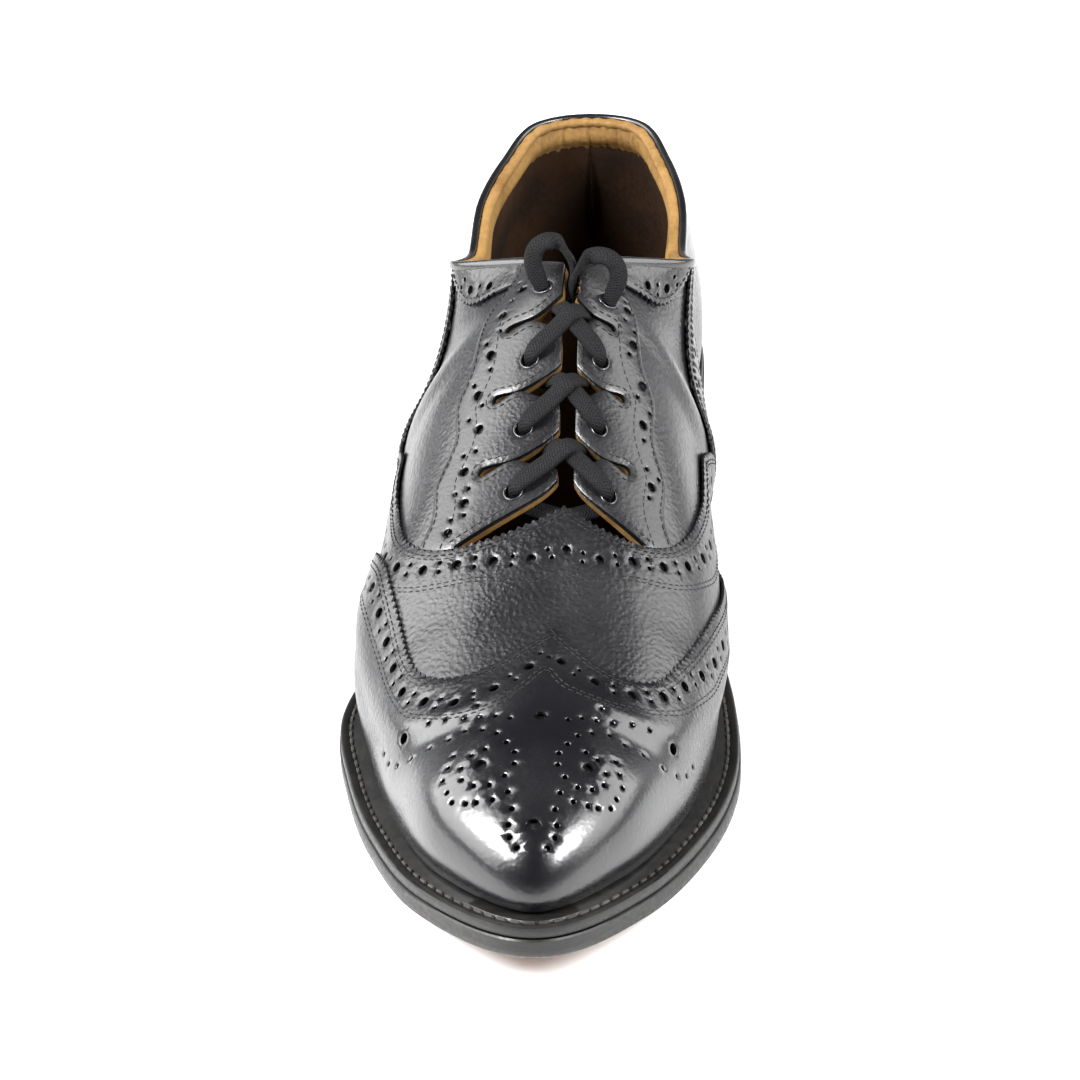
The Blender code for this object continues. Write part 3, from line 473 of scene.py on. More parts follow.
def panel(name, outline, materials, lift, thickness, spacing=.0019, holes=(), roll=.00035, rim=0):
    # A leather piece on the last, with rolled edges and punched holes. The second material is its back.
    flat, faces = filled(outline, holes, spacing)
    used = np.unique(faces)
    renumber = np.zeros(len(flat), int)
    renumber[used] = np.arange(len(used))
    flat, faces = flat[used], renumber[faces]
    base = lift(flat) if callable(lift) else np.full(len(flat), lift)
    top = base + thickness - roll * (1 - ease(distanceTo(flat, outline, True) / (1.6 * rimWidth)))
    for centre, radius in holes:
        top -= .00022 * (np.linalg.norm(flat - centre, axis=1) < radius * 1.05)
    outer, inner = raised(flat, top), raised(flat, base)
    corners = outer[faces]
    farthest = int(np.argmax(np.abs(corners[:, 0, 0] - corners[:, 0, 0].mean())))
    a, b, c = corners[farthest]
    if np.cross(b - a, c - a) @ (outer - inner)[faces[farthest, 0]] < 0:
        faces = faces[:, ::-1]
    count = len(flat)
    edges = {}
    for a, b, c in faces:
        for edge in ((a, b), (b, c), (c, a)):
            edges[edge] = edges.get(edge, 0) + 1
    sides = [(b, a, a + count, b + count) for a, b in edges if (b, a) not in edges]
    allFaces = [tuple(f) for f in faces] + [tuple(f[::-1] + count) for f in faces] + sides
    choices = [0] * len(faces) + [min(1, len(materials) - 1)] * len(faces) + [rim] * len(sides)
    return newObject(name, np.vstack([outer, inner]), allFaces, materials, choices)


def stitchRow(line, pitch=.0021, length=.0016, thread=.00032, lift=None):
    # Corners and faces of a row of stitches along a flat line.
    line = spaced(line, pitch)
    if len(line) < 3:
        return np.zeros((0, 3)), []
    run = unit(np.gradient(line, axis=0))
    stations = ((-.5, .45, -.00022), (-.38, .9, -.00002), (0, 1, .00005), (.38, .9, -.00002),
                (.5, .45, -.00022))
    flat = np.concatenate([line + run * (length * s[0]) for s in stations])
    lifts = np.concatenate([np.full(len(line), s[2]) for s in stations])
    if lift:
        lifts += np.tile(lift(line) + leather["overlay"], len(stations))
    place, share = pattern.find(flat)
    normal = skinNormal(place, share)
    centre = skin(place, share) + (lifts + wear(flat))[:, None] * normal + shift
    count = len(line)
    centre, normal = centre.reshape(len(stations), count, 3), normal.reshape(len(stations), count, 3)
    forward = unit(centre[-1] - centre[0])
    across = unit(np.cross(forward, normal[2]))
    corners, faces, sides = [], [], 6
    for s, station in enumerate(stations):
        for k in range(sides):
            turn = 2 * pi * k / sides
            radius = thread / 2 * station[1]
            corners.append(centre[s] + radius * (cos(turn) * across + sin(turn) * normal[2]))
    corners = np.array(corners)
    for n in range(count):
        rings = [[(s * sides + k) * count + n for k in range(sides)] for s in range(len(stations))]
        for a, b in zip(rings, rings[1:]):
            faces += [(a[k], b[k], b[(k + 1) % sides], a[(k + 1) % sides]) for k in range(sides)]
        faces += [tuple(rings[0]), tuple(rings[-1][::-1])]
    return corners.reshape(-1, 3), faces


def stretchesOf(line, keep, least=12):
    # The unbroken parts of a line where keep is true.
    parts = np.split(np.arange(len(line)), np.flatnonzero(np.diff(keep.astype(int))) + 1)
    return [line[part] for part in parts if keep[part[0]] and len(part) >= least]


class Stitching:
    # All the stitch rows of one piece.

    def __init__(self):
        self.corners, self.faces, self.count = [], [], 0

    def row(self, line, outline=None, clear=.0008, **settings):
        parts = [line]
        if outline is not None:
            parts = stretchesOf(line, inside(line, outline) & (distanceTo(line, outline, True) > clear))
        for part in parts:
            corners, faces = stitchRow(part, **settings)
            self.faces += [tuple(i + self.count for i in face) for face in faces]
            self.corners.append(corners)
            self.count += len(corners)

    def piece(self, name, material):
        return settle(newObject(name, np.vstack(self.corners), self.faces, [material]), "black_leather")


class Wire:
    # A shader value that takes part in sums.

    def __init__(self, tree, socket):
        self.tree, self.socket = tree, socket

    def node(self, kind, inputs, output=0, **settings):
        return shaderNode(self.tree, kind, inputs, output, **settings)

    def sum(self, operation, a, b):
        return self.node("ShaderNodeMath", {0: a, 1: b}, operation=operation)

    def __add__(self, other):
        return self.sum("ADD", self, other)

    def __mul__(self, other):
        return self.sum("MULTIPLY", self, other)

    __radd__ = __add__
    __rmul__ = __mul__

    def between(self, low, high, outLow=0.0, outHigh=1.0):
        return self.node("ShaderNodeMapRange", {0: self, 1: low, 2: high, 3: outLow, 4: outHigh},
                         interpolation_type="SMOOTHSTEP")

    def mix(self, first, second):
        return self.node("ShaderNodeMix", {0: self, 6: first, 7: second}, 2, data_type="RGBA")


def shaderNode(tree, kind, inputs, output=0, **settings):
    node = tree.nodes.new(kind)
    for key, value in settings.items():
        setattr(node, key, value)
    for key, value in inputs.items():
        if isinstance(value, Wire):
            tree.links.new(value.socket, node.inputs[key])
        else:
            node.inputs[key].default_value = value
    return Wire(tree, node.outputs[output])


def newMaterial(name, **values):
    material = bpy.data.materials.new(name)
    material.use_nodes = True
    tree = material.node_tree
    shader = tree.nodes["Principled BSDF"]
    for key, value in values.items():
        shader.inputs[key.replace("_", " ")].default_value = value
    where = shaderNode(tree, "ShaderNodeTexCoord", {}, "Object")
    return material, tree, shader, where


def connect(tree, shader, **wires):
    for key, wire in wires.items():
        tree.links.new(wire.socket, shader.inputs[key.replace("_", " ")])


def rgb(r, g, b):
    return (r, g, b, 1.0)


def noise(where, scale, detail, output=0):
    return where.node("ShaderNodeTexNoise", {"Vector": where, "Scale": scale, "Detail": detail}, output)


def bumped(height, distance, strength):
    return height.node("ShaderNodeBump", {"Height": height, "Distance": distance, "Strength": strength})


def leatherMaterial(name, dark, light, rough, coat, grain, grainScale, glossToe=False):
    # Leather with a pebbled grain, faint mottling and softer gloss in its hollows.
    material, tree, shader, where = newMaterial(name, Coat_Roughness=.22, Specular_IOR_Level=.45)
    wobble = noise(where, 420.0, 2.0, 1)
    bent = where.node("ShaderNodeMix", {0: .0007, 4: where, 5: wobble}, 1, data_type="VECTOR")
    pebbles = where.node("ShaderNodeTexVoronoi", {"Vector": bent, "Scale": grainScale}, 0, feature="SMOOTH_F1")
    fine = noise(where, grainScale * 2.2, 3.0)
    patches = noise(where, 38.0, 4.0)
    height = pebbles * -1.0 + fine * .35
    roughness = patches.between(.3, .7, rough * .82, rough * 1.2) + pebbles * .10
    if glossToe:
        apart = where.node("ShaderNodeSeparateXYZ", {0: where}, 1)
        toe = apart.between(-.075, -.105)
        height = height * toe.between(0, 1, 1.0, .25)
        roughness = roughness * toe.between(0, 1, 1.0, .72)
        connect(tree, shader, Coat_Weight=toe.between(0, 1, coat, min(1, coat + .20)))
    else:
        shader.inputs["Coat Weight"].default_value = coat
    connect(tree, shader, Base_Color=patches.between(.25, .75).mix(dark, light), Roughness=roughness,
            Normal=bumped(height, .00035, grain))
    return material


def edgeMaterial(name, dark, light, rough, coat):
    # Waxed leather edge with the faint layers of the cut.
    material, tree, shader, where = newMaterial(name, Coat_Weight=coat, Coat_Roughness=.25,
                                                Specular_IOR_Level=.3)
    stretched = where.node("ShaderNodeMapping", {"Vector": where, "Scale": (60, 60, 1800)}, 0)
    layers = noise(stretched, 1.0, 3.0)
    specks = noise(where, 900.0, 2.0)
    connect(tree, shader, Base_Color=layers.between(.3, .7).mix(dark, light),
            Roughness=specks.between(.3, .7, rough * .8, rough * 1.2),
            Normal=bumped(layers + specks * .5, .0002, .35))
    return material


def plainLeather(name, dark, light, rough, scale=700.0, shine=.2):
    # Undyed leather: fibres, pores and stains.
    material, tree, shader, where = newMaterial(name, Specular_IOR_Level=shine)
    stains = noise(where, 55.0, 5.0)
    pores = noise(where, scale, 4.0)
    connect(tree, shader, Base_Color=(stains * .7 + pores * .3).between(.35, .65).mix(dark, light),
            Roughness=pores.between(.3, .7, rough * .9, min(1, rough * 1.15)),
            Normal=bumped(pores, .00025, .4))
    return material


def braidMaterial(name, dark, light):
    # Flat braid: two sets of strands that cross on the slant. U runs along the lace, V round it.
    material, tree, shader, where = newMaterial(name, Specular_IOR_Level=.15)
    spot = shaderNode(tree, "ShaderNodeTexCoord", {}, "UV")
    u, v = (spot.node("ShaderNodeSeparateXYZ", {0: spot}, axis) for axis in (0, 1))
    waves = [spot.node("ShaderNodeMath", {0: u * 8200.0 + v * slant}, operation="SINE")
             for slant in (75.4, -75.4)]
    weave = spot.sum("MAXIMUM", *waves)
    fuzz = noise(where, 2500.0, 3.0)
    connect(tree, shader, Base_Color=weave.between(-.3, 1).mix(dark, light),
            Roughness=fuzz.between(.3, .7, .6, .85), Normal=bumped(weave + fuzz * .6, .00012, .7))
    return material


deepBlack, softBlack = rgb(.004, .004, .005), rgb(.009, .009, .010)
blackLeather = leatherMaterial("blackLeather", deepBlack, softBlack, .31, .30, .62, 880.0)
facingLeather = leatherMaterial("facingLeather", deepBlack, softBlack, .33, .25, .30, 1050.0)
capLeather = leatherMaterial("capLeather", rgb(.003, .003, .004), rgb(.007, .007, .008), .30, .35, .60, 880.0,
                             True)
smoothLeather = leatherMaterial("smoothLeather", deepBlack, rgb(.008, .008, .009), .24, .5, .12, 1500.0)
lining = plainLeather("lining", rgb(.13, .068, .019), rgb(.23, .132, .043), .6)
# Dark brown for the back of the upper and the heel patch: painted shade for the dim inside of the shoe, whose
# lining is tan
insideShadeLeather = plainLeather("insideShadeLeather", rgb(.012, .005, .002), rgb(.028, .012, .004), .8)
footbed = plainLeather("footbed", rgb(.026, .013, .003), rgb(.048, .025, .006), .8)
soleLeather = plainLeather("soleLeather", rgb(.11, .045, .018), rgb(.19, .09, .038), .5, 400.0)
blackEdge = edgeMaterial("blackEdge", rgb(.004, .004, .004), rgb(.011, .010, .009), .42, .12)
rubber = edgeMaterial("rubber", rgb(.012, .012, .012), rgb(.022, .022, .022), .7, 0.0)
thread = plainLeather("thread", rgb(.006, .006, .006), rgb(.016, .016, .017), .5, 3000.0)
# The welt thread is painted a lighter grey: a painted highlight for the glints its stitches catch
weltThreadPaintedSheen = plainLeather("weltThreadPaintedSheen", rgb(.02, .019, .018), rgb(.06, .056, .05), .5, 3000.0)
lace = braidMaterial("lace", rgb(.002, .002, .002), rgb(.007, .007, .008))
print("materials made")

# Where the shoe stands: the sole's outline is centred on its CAD piece
outlinePlaces = np.arange(480) * loopRows / 480


def roundSole(reach, places=outlinePlaces):
    row = roundLast(places)
    out = row[:, 11] + reach if reach > -.005 else np.full(len(places), reach)
    return np.stack([row[:, 1], -row[:, 0]], -1) + featherNormal(places) * out[:, None]


soleOutline = roundSole(0)
soleLow, soleHigh = (np.array(corner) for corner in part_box("outsole"))
middle = (soleLow + soleHigh) / 2 - np.array([*(soleOutline.min(axis=0) + soleOutline.max(axis=0)) / 2, 0])
shift = np.array([middle[0], middle[1], 0])

# The camera stands where the photograph was taken from
camera = dict(azimuth=radians(5.06), elevation=radians(29.6), roll=radians(-2.58), distance=.734, lens=95.1,
              target=(-.0061, -.1683, .040))


def makeCamera():
    azimuth, elevation = camera["azimuth"], camera["elevation"]
    back = np.array([sin(azimuth) * cos(elevation), -cos(azimuth) * cos(elevation), sin(elevation)])
    right = np.array([cos(azimuth), sin(azimuth), 0])
    up = np.cross(back, right)
    c, s = cos(camera["roll"]), sin(camera["roll"])
    right, up = c * right + s * up, c * up - s * right
    place = np.array(camera["target"]) + shift + back * camera["distance"]
    bpy.ops.object.camera_add()
    cam = bpy.context.object
    cam.data.lens = camera["lens"]
    cam.data.sensor_width = 36
    cam.data.clip_start = .01
    cam.matrix_world = Matrix(np.vstack([np.column_stack([right, up, back, place]), [0, 0, 0, 1]]).tolist())
    bpy.context.scene.camera = cam


makeCamera()


def loftFaces(count, rings, closed=False):
    faces = []
    for r in range(rings if closed else rings - 1):
        a, b = r * count, ((r + 1) % rings) * count
        faces += [(a + k, a + (k + 1) % count, b + (k + 1) % count, b + k) for k in range(count)]
    return faces


def swept(name, spots, outward, widths, thicknesses, material, sides=16):
    # A flat braid along points, its sizes one value or one for each point.
    run = unit(np.gradient(spots, axis=0))
    across = unit(np.cross(run, outward))
    up = unit(np.cross(across, run))
    turns = 2 * pi * (np.arange(sides) + .5) / sides
    c, s = np.cos(turns), np.sin(turns)
    x = np.sign(c) * np.abs(c) ** .75
    y = np.sign(s) * np.abs(s) ** .75
    widths, thicknesses = (np.broadcast_to(size, len(spots))[:, None, None] for size in (widths, thicknesses))
    corners = (spots[:, None] + across[:, None] * (x[None, :, None] * widths / 2)
               + up[:, None] * (y[None, :, None] * thicknesses / 2)).reshape(-1, 3)
    length = runOf(spots)
    faces, uvs = loftFaces(sides, len(spots)), []
    for here, there in zip(length, length[1:]):
        for k in range(sides):
            uvs += [(here, k / sides), (here, (k + 1) / sides), (there, (k + 1) / sides), (there, k / sides)]
    for end in (0, len(spots) - 1):
        ring = [end * sides + k for k in range(sides)]
        faces.append(tuple(ring if end else ring[::-1]))
        uvs += [(length[end], 0)] * sides
    return newObject(name, corners, faces, [material], uvs=uvs)


laceSize = dict(width=.0047, thickness=.0019, atHole=.0037)
laceLift = dict(start=-.0068, under=-.0066, below=-.0048, hole=.0002, on=.0019, over=.0032, lower=.0010,
                leaving=-.0002, gone=-.0056)

# The lace's end from its hole: (share of the way to the ridge, back, up, how far its flat side has turned)
loopPath = (
    (.00, .0000, -.0006, 0), (-.16, .0005, .0028, 0), (-.27, .0012, .0060, 0), (-.22, .0021, .0089, 0),
    (-.04, .0027, .0108, .1), (.20, .0032, .0114, .3), (.46, .0036, .0105, .55), (.70, .0036, .0080, .8),
    (.88, .0033, .0048, 1), (.90, .0026, .0006, 1), (.82, .0014, -.0042, 1), (.58, .0002, -.0078, 1),
)


def makeLoop(side, name, node):
    # The end of the lace: out of the top hole, round over the tab and down inside it.
    row, share = laceHoles[side][0]
    hole, ridge = (skin(np.array([onSide(side, row)]), np.array([way]))[0] + shift for way in (share, 1.0))
    spots = [(*(hole + np.array([way * (ridge[0] - hole[0]), back, up])), turn)
             for way, back, up, turn in loopPath]
    line = spaced(smoothed(spots), .0007)
    turn = line[:, 3:]
    line = line[:, :3]
    facing = (1 - turn) * np.array([0, -.72, .7]) + turn * np.array([side, 0, 0])
    widths = np.interp(np.arange(len(line)), [0, 6], [laceSize["atHole"], laceSize["width"]])
    loop = swept(name, line, unit(facing), widths, laceSize["thickness"], lace)
    settle(loop, "lace_black", node)
    length = np.linalg.norm(np.diff(line, axis=0), axis=1).sum()


makeLoop(-1, "laceLoopLateral", "lace_loop_lateral")
makeLoop(1, "laceLoopMedial", "lace_loop_medial")


def laceHole(side, number):
    row, share = laceHoles[side][number]
    return pattern.draw(onSide(side, row), share)


def makeLacing():
    # One strand from each bottom hole: up through a tab, across, and under the next tab opposite.
    pieces = []
    for start in (-1, 1):
        side = start
        flat = [pattern.draw(onSide(side, 8.75), .985)]
        lifts, widths = [laceLift["start"]], [laceSize["width"]]
        for number in (3, 2, 1, 0):
            hole = laceHole(side, number)
            if number:
                cross = pattern.draw(onSide(side, slits[number - 1].row + .42), 1)
                toward = unit(cross - hole)
            else:
                cross, toward = hole, unit(pattern.draw(onSide(side, 5.95), .93) - hole)
            came = unit(hole - flat[-1])
            flat += [hole - came * .0036, hole - came * .0010, hole + toward * .0006, hole + toward * .0034]
            lifts += [laceLift[key] for key in ("under", "below", "hole", "on")]
            widths += [laceSize["width"], laceSize["atHole"], laceSize["atHole"], laceSize["width"]]
            if not number:
                break
            over = (number + (start > 0)) % 2
            side = -side
            far = laceHole(side, number - 1)
            flat += [hole + (cross - hole) * .65, cross]
            flat += [cross + (far - cross) * part for part in (.30, .55)]
            lifts += [laceLift[key] for key in ("on", "over" if over else "lower", "leaving", "gone")]
            widths += [laceSize["width"]] * 4
        fine = smoothed(np.column_stack([flat, lifts, widths]), 10)
        fine = fine[:-10] if len(fine) > 60 else fine
        place, share = pattern.find(fine[:, :2])
        normal = skinNormal(place, share)
        spots = skin(place, share) + fine[:, 2][:, None] * normal + shift
        smooth = spots.copy()
        for _ in range(3):
            smooth[1:-1] = (smooth[:-2] + 2 * smooth[1:-1] + smooth[2:]) / 4
        pieces.append(swept("laceStrand" + ("Lateral" if start < 0 else "Medial"), smooth, normal, fine[:, 3],
                            laceSize["thickness"], lace))
    settle(pieces[0], "lace_black", "lace_crossing_1", "lace_crossing_2")
    settle(pieces[1], "lace_black", "lace_crossing_3")


makeLacing()
print("laces made")


def stripFaces(count, first):
    faces = [(first, first + 1, first + count - 1)]
    for k in range(1, count // 2 - 1):
        faces.append((first + k, first + k + 1, first + count - k - 1, first + count - k))
    faces.append((first + count // 2 - 1, first + count // 2, first + count // 2 + 1))
    return faces


def turnedOut(obj):
    # A closed object with all its faces turned outwards.
    mesh = bmesh.new()
    mesh.from_mesh(obj.data)
    bmesh.ops.recalc_face_normals(mesh, faces=mesh.faces)
    mesh.to_mesh(obj.data)
    mesh.free()
    return obj


def lofted(name, rings, materials, capped=True, bottomRings=0):
    # A solid through level rings. The second material takes its underside.
    count = len(rings[0])
    faces = loftFaces(count, len(rings), not capped)
    choices = [len(materials) - 1 if n // count < bottomRings else 0 for n in range(len(faces))]
    if capped:
        bottom, top = stripFaces(count, 0), stripFaces(count, (len(rings) - 1) * count)
        faces += [face[::-1] for face in bottom] + top
        choices += [len(materials) - 1] * len(bottom) + [0] * len(top)
    return turnedOut(newObject(name, np.vstack(rings) + shift, faces, materials, choices))


def ringAt(reach, height):
    points = roundSole(reach)
    return np.column_stack([points, soleBottom(-points[:, 1]) + height])


edge, bevel, thick = .0004, sole["bevel"], sole["outsole"]
rings = [ringAt(reach, height) for reach, height in (
    (-bevel - edge, 0), (-bevel, .0001), (-.0005, .0006), (0, bevel), (0, thick * .5), (0, thick - edge),
    (-edge, thick),
)]
settle(lofted("soleLayer", rings, [blackEdge, soleLeather], True, 1), "sole_leather", "outsole")

welt = dict(inner=-.0080, edge=-.0004, round=.0007, groove=.0004, grooveAt=(-.0024, -.0028, -.0036, -.0040))
base, top = thick + sole["gap"], thick + sole["gap"] + sole["welt"]
outerLip, outerWall, innerWall, innerLip = welt["grooveAt"]
rings = [ringAt(reach, height) for reach, height in (
    (welt["inner"], base), (welt["edge"] - .0003, base), (welt["edge"], base + .0004),
    (welt["edge"], top - welt["round"]), (welt["edge"] - welt["round"] * .3, top - .0002),
    (welt["edge"] - welt["round"], top), (outerLip, top), (outerWall, top - welt["groove"]),
    (innerWall, top - welt["groove"]), (innerLip, top), (welt["inner"], top),
)]
settle(lofted("weltStrip", rings, [blackEdge], False), "edge_black", "welt")


weltStitch = dict(pitch=.0034, length=.0027, setBack=.0032, across=.00045, tall=.0004, fromRow=3.6, sides=6,
                  stations=((-.5, .4, -.0006), (-.35, 1, -.0001), (.35, 1, -.0001), (.5, .4, -.0006)))


def makeWeltStitches():
    # Thick stitches in the welt's groove, forward of the heel.
    start = weltStitch["fromRow"]
    points = roundSole(-weltStitch["setBack"], np.linspace(start, loopRows - start, 1600))
    line = spaced(np.column_stack([points, soleBottom(-points[:, 1]) + top]), weltStitch["pitch"])
    run = unit(np.gradient(line, axis=0))
    across = unit(np.cross(run, [0, 0, 1.0]))
    corners, faces, sides = [], [], weltStitch["sides"]
    one = loftFaces(sides, len(weltStitch["stations"]))
    for n in range(len(line)):
        faces += [tuple(i + len(corners) for i in face) for face in one]
        for along, size, lift in weltStitch["stations"]:
            for k in range(sides):
                turn = 2 * pi * k / sides
                corners.append(line[n] + run[n] * along * weltStitch["length"]
                               + across[n] * cos(turn) * weltStitch["across"] * size
                               + np.array([0, 0, lift + sin(turn) * weltStitch["tall"] * size]))
    settle(newObject("weltStitches", np.array(corners) + shift, faces, [weltThreadPaintedSheen]), "edge_black")


makeWeltStitches()

heel = dict(length=.066, taper=.0022, curve=.0035, topPiece=.0065, lifts=5, groove=.00022, edge=.0004,
            half=.014)


def heelOutline(inset):
    edge = roundSole(-inset, np.linspace(-3.2, 3.2, 400))
    back = spaced(edge[-edge[:, 1] <= heel["length"]], .0005)
    back = back[np.linspace(0, len(back) - 1, 200).astype(int)]
    t = np.linspace(0, 1, 42)[1:-1]
    breast = back[-1] * (1 - t[:, None]) + back[0] * t[:, None]
    breast[:, 1] += heel["curve"] * np.sin(pi * t)
    return np.vstack([back, breast])


def heelRing(share, extra=0.0):
    # A ring of the stacked lifts: share is 0 on the top piece and 1 under the sole.
    outline = heelOutline(heel["taper"] * (1 - share) + extra)
    foot = heel["topPiece"] + sole["gap"]
    head = soleBottom(-outline[:, 1]) - sole["gap"]
    return np.column_stack([outline, foot + share * (head - foot)])


def closedLoft(name, rings, materials):
    count = len(rings[0])
    faces = loftFaces(count, len(rings)) + [tuple(range(count))[::-1]]
    faces.append(tuple(range((len(rings) - 1) * count, len(rings) * count)))
    return turnedOut(newObject(name, np.vstack(rings) + shift, faces, materials))


rings = [heelRing(0, heel["edge"]), heelRing(.012)]
for number in range(1, heel["lifts"]):
    share = number / heel["lifts"]
    rings += [heelRing(share - heel["half"]), heelRing(share, heel["groove"]), heelRing(share + heel["half"])]
rings += [heelRing(.985), heelRing(1, .0002)]
settle(closedLoft("heelLifts", rings, [blackEdge]), "edge_black", "heel_stack")

tread = heelOutline(heel["taper"])
inner = heelOutline(heel["taper"] + heel["edge"])
rings = [np.column_stack([outline, np.full(len(outline), height)]) for outline, height in (
    (inner, 0), (tread, .0005), (tread, heel["topPiece"] - .0003), (inner, heel["topPiece"]))]
settle(closedLoft("heelTread", rings, [rubber]), "heel_rubber", "heel_top_piece")

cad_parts["insole"].data.materials.clear()
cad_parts["insole"].data.materials.append(footbed)
print("sole made")


def tabLine(side):
    line = list(topTabEdge)
    for above, below in zip(slits, slits[1:]):
        line += [(above.row + way * slitWidth / 2, above.share + .01) for way in (-1, 1)]
        line += [(above.row + after, share) for after, share in tabUpperEdge]
        line += [(below.row + beyond, share) for beyond, share in tabLowerEdge]
    line.append((slits[-1].row, slits[-1].share))
    line = drawn(side, line)
    centre = np.interp(-line[:, 1], ridgeRun, ridgeOffset)
    line[:, 0] = centre + side * np.maximum(side * (line[:, 0] - centre), tabApart / 2)
    return line


def punched(side, spots, radius):
    # Holes of one radius at these spots: (row, share).
    return [(pattern.draw(onSide(side, row), share), radius) for row, share in spots]


def clearOf(holes, outline, margin):
    # The holes inside an outline, a margin or more from its edge.
    return [(spot, radius) for spot, radius in holes
            if inside(spot[None], outline)[0] and distanceTo(spot[None], outline, True)[0] > margin]


def bothSides(lateral, medial):
    return np.vstack([drawn(-1, lines[lateral]), drawn(1, lines[medial])[::-1][1:]])


def wingEdge():
    return bothSides("wingLateral", "wingMedial")


punch = dict(quarter=.0024, facing=.0022, rim=.0023, big=.0013, small=.0006, medallionSmall=.00065,
             medallionBig=.0014, apart=.0006, pairOut=.0013)


def broguing(line, inset=0, pitch=.0102, big=.00135, small=.00062, trim=.004):
    # Big holes along a line at an inset, with a pair of small ones between.
    line = sideways(spaced(line, .0005), inset)
    run = runOf(line)
    count = max(2, int(round((run[-1] - 2 * trim) / pitch)))
    step = (run[-1] - 2 * trim) / count

    def at(distance):
        return np.array([np.interp(distance, run, line[:, axis]) for axis in (0, 1)])

    holes = []
    for k in range(count + 1):
        here = trim + k * step
        holes.append((at(here), big))
        if k < count:
            between = here + step / 2
            along = unit(at(between + .001) - at(between - .001))
            out = np.array([-along[1], along[0]]) * punch["pairOut"]
            holes += [(at(between) + out, small), (at(between) - out, small)]
    return holes


def overlay(name, node, outline, materials, spacing, holes=(), lift=-leather["overlay"], extra=0.0,
            look="black_leather"):
    # A thin piece sewn on the upper.
    settle(panel(name, outline, materials, lift, leather["overlay"] + extra, spacing, holes), look, node)


def sewn(rows, outline=None, **settings):
    for row in rows:
        stitches.row(row, outline, **settings)


def makeUpper():
    feet = joined(edgeLine(-1, 0, lastRow, 0), edgeLine(1, lastRow, 0, 0))
    stretches = []
    for side in (-1, 1):
        tabs = tabLine(side)
        vamp = drawn(side, lines["vamp"])
        stretches.append((edgeLine(side, 0, topTabEdge[0][0], 1), tabs, partOf(vamp, tabs[-1], vamp[-1])))
    opening = joined(*stretches[0], *[line[::-1] for line in stretches[1][::-1]])
    holes = [hole for side in (-1, 1) for hole in punched(side, laceHoles[side], punch["quarter"])]
    base = -(leather["under"] + leather["wall"])
    # The back of the upper is painted dark brown as shade inside the shoe; its cut rims show the tan lining
    return panel("quarters", bridged(feet, opening), [blackLeather, insideShadeLeather, lining], base,
                 leather["wall"], .0026, holes, .0002, 2)


def turning(outline):
    # Twice the signed area, which tells the way an outline turns.
    x, y = outline.T
    return (x * np.roll(y, -1) - np.roll(x, -1) * y).sum()


def bridged(outer, opening):
    # An outline with an opening in it, as one outline that runs in along the heel's back seam and out.
    a = int(np.argmin(np.linalg.norm(outer - pattern.draw(0, 0), axis=1)))
    b = int(np.argmin(np.linalg.norm(opening - pattern.draw(0, 1), axis=1)))
    outer = np.roll(outer, -a, axis=0)
    opening = np.roll(opening, -b, axis=0)
    if turning(outer) * turning(opening) > 0:
        opening = np.roll(opening[::-1], 1, axis=0)
    away = np.array([.00006, 0])
    start, end = outer[0], opening[0]
    sign = 1 if outer[1][0] > outer[0][0] else -1
    return np.vstack([start + away * sign, outer[1:], start - away * sign, end - away * sign,
                      opening[1:], end + away * sign])


settle(makeUpper(), "black_leather", "upper")
stitches = Stitching()


def makeFacings():
    for side, name, node in ((-1, "facingLateral", "facing_lateral"), (1, "facingMedial", "facing_medial")):
        collar = edgeLine(side, lines["facing"][0][0], topTabEdge[0][0], 1)
        tabs, outer = tabLine(side), drawn(side, lines["facing"])
        foot = partOf(drawn(side, lines["vamp"]), tabs[-1], outer[-1])
        outline = joined(collar, tabs, foot, outer[::-1])
        holes = punched(side, laceHoles[side], punch["facing"])
        for size in ("big", "small"):
            holes += clearOf(punched(side, facingHoles[side][size], punch[size]), outline, punch[size] + .0008)
        overlay(name, node, outline, [facingLeather, lining], .0017, holes)
        sewn([sideways(outer, -side * inset) for inset in (.0013, .0068)], outline, clear=.0010)
        sewn([sideways(tabs, side * .0016)], outline, clear=.0013)


makeFacings()


def rimLine():
    return np.vstack([footLine(-1, 0, lastRow), footLine(1, lastRow, 0)])


seamInsets, seamApart = (.0017, .0028), .0011


def seams(edge, foot):
    # Two stitch rows just inside an edge and two at the foot of its holes.
    return [*[sideways(edge, -inset) for inset in seamInsets], foot, sideways(foot, seamApart)]


def makeVamp():
    plain, edge = bothSides("vamp", "vamp"), wingEdge()
    top = gimped(plain)
    counters = [drawn(side, lines["counter"]) for side in (-1, 1)]
    tucked = sideways(edge, -leather["overlap"])
    tucked = tucked[inside(tucked, rimLine()) & (distanceTo(tucked, edge) > .97 * leather["overlap"])][::4]
    rimA = footLine(-1, lines["counter"][-1][0], lastRow)
    rimB = footLine(1, lastRow, lines["counter"][-1][0])
    outline = joined(
        top[::-1],
        partOf(counters[0], top[0], counters[0][-1])[::2],
        partOf(rimA, rimA[0], tucked[0])[:-1],
        tucked,
        partOf(rimB, tucked[-1], rimB[-1])[1:],
        partOf(counters[1], counters[1][-1], top[-1])[::2],
    )
    holes = clearOf(broguing(bothSides("vampHoles", "vampHoles")), outline, .002)
    overlay("vampPanel", "vamp", outline, [blackLeather], .0019, holes)
    sewn(seams(plain, bothSides("vampFoot", "vampFoot")), outline)


makeVamp()


def capLift(flat):
    inward = distanceTo(flat, spaced(wingEdge(), .003))
    down = ease((inward - leather["capFlat"]) / leather["capRamp"])
    return -leather["overlay"] + (1 - down) * leather["capLift"]


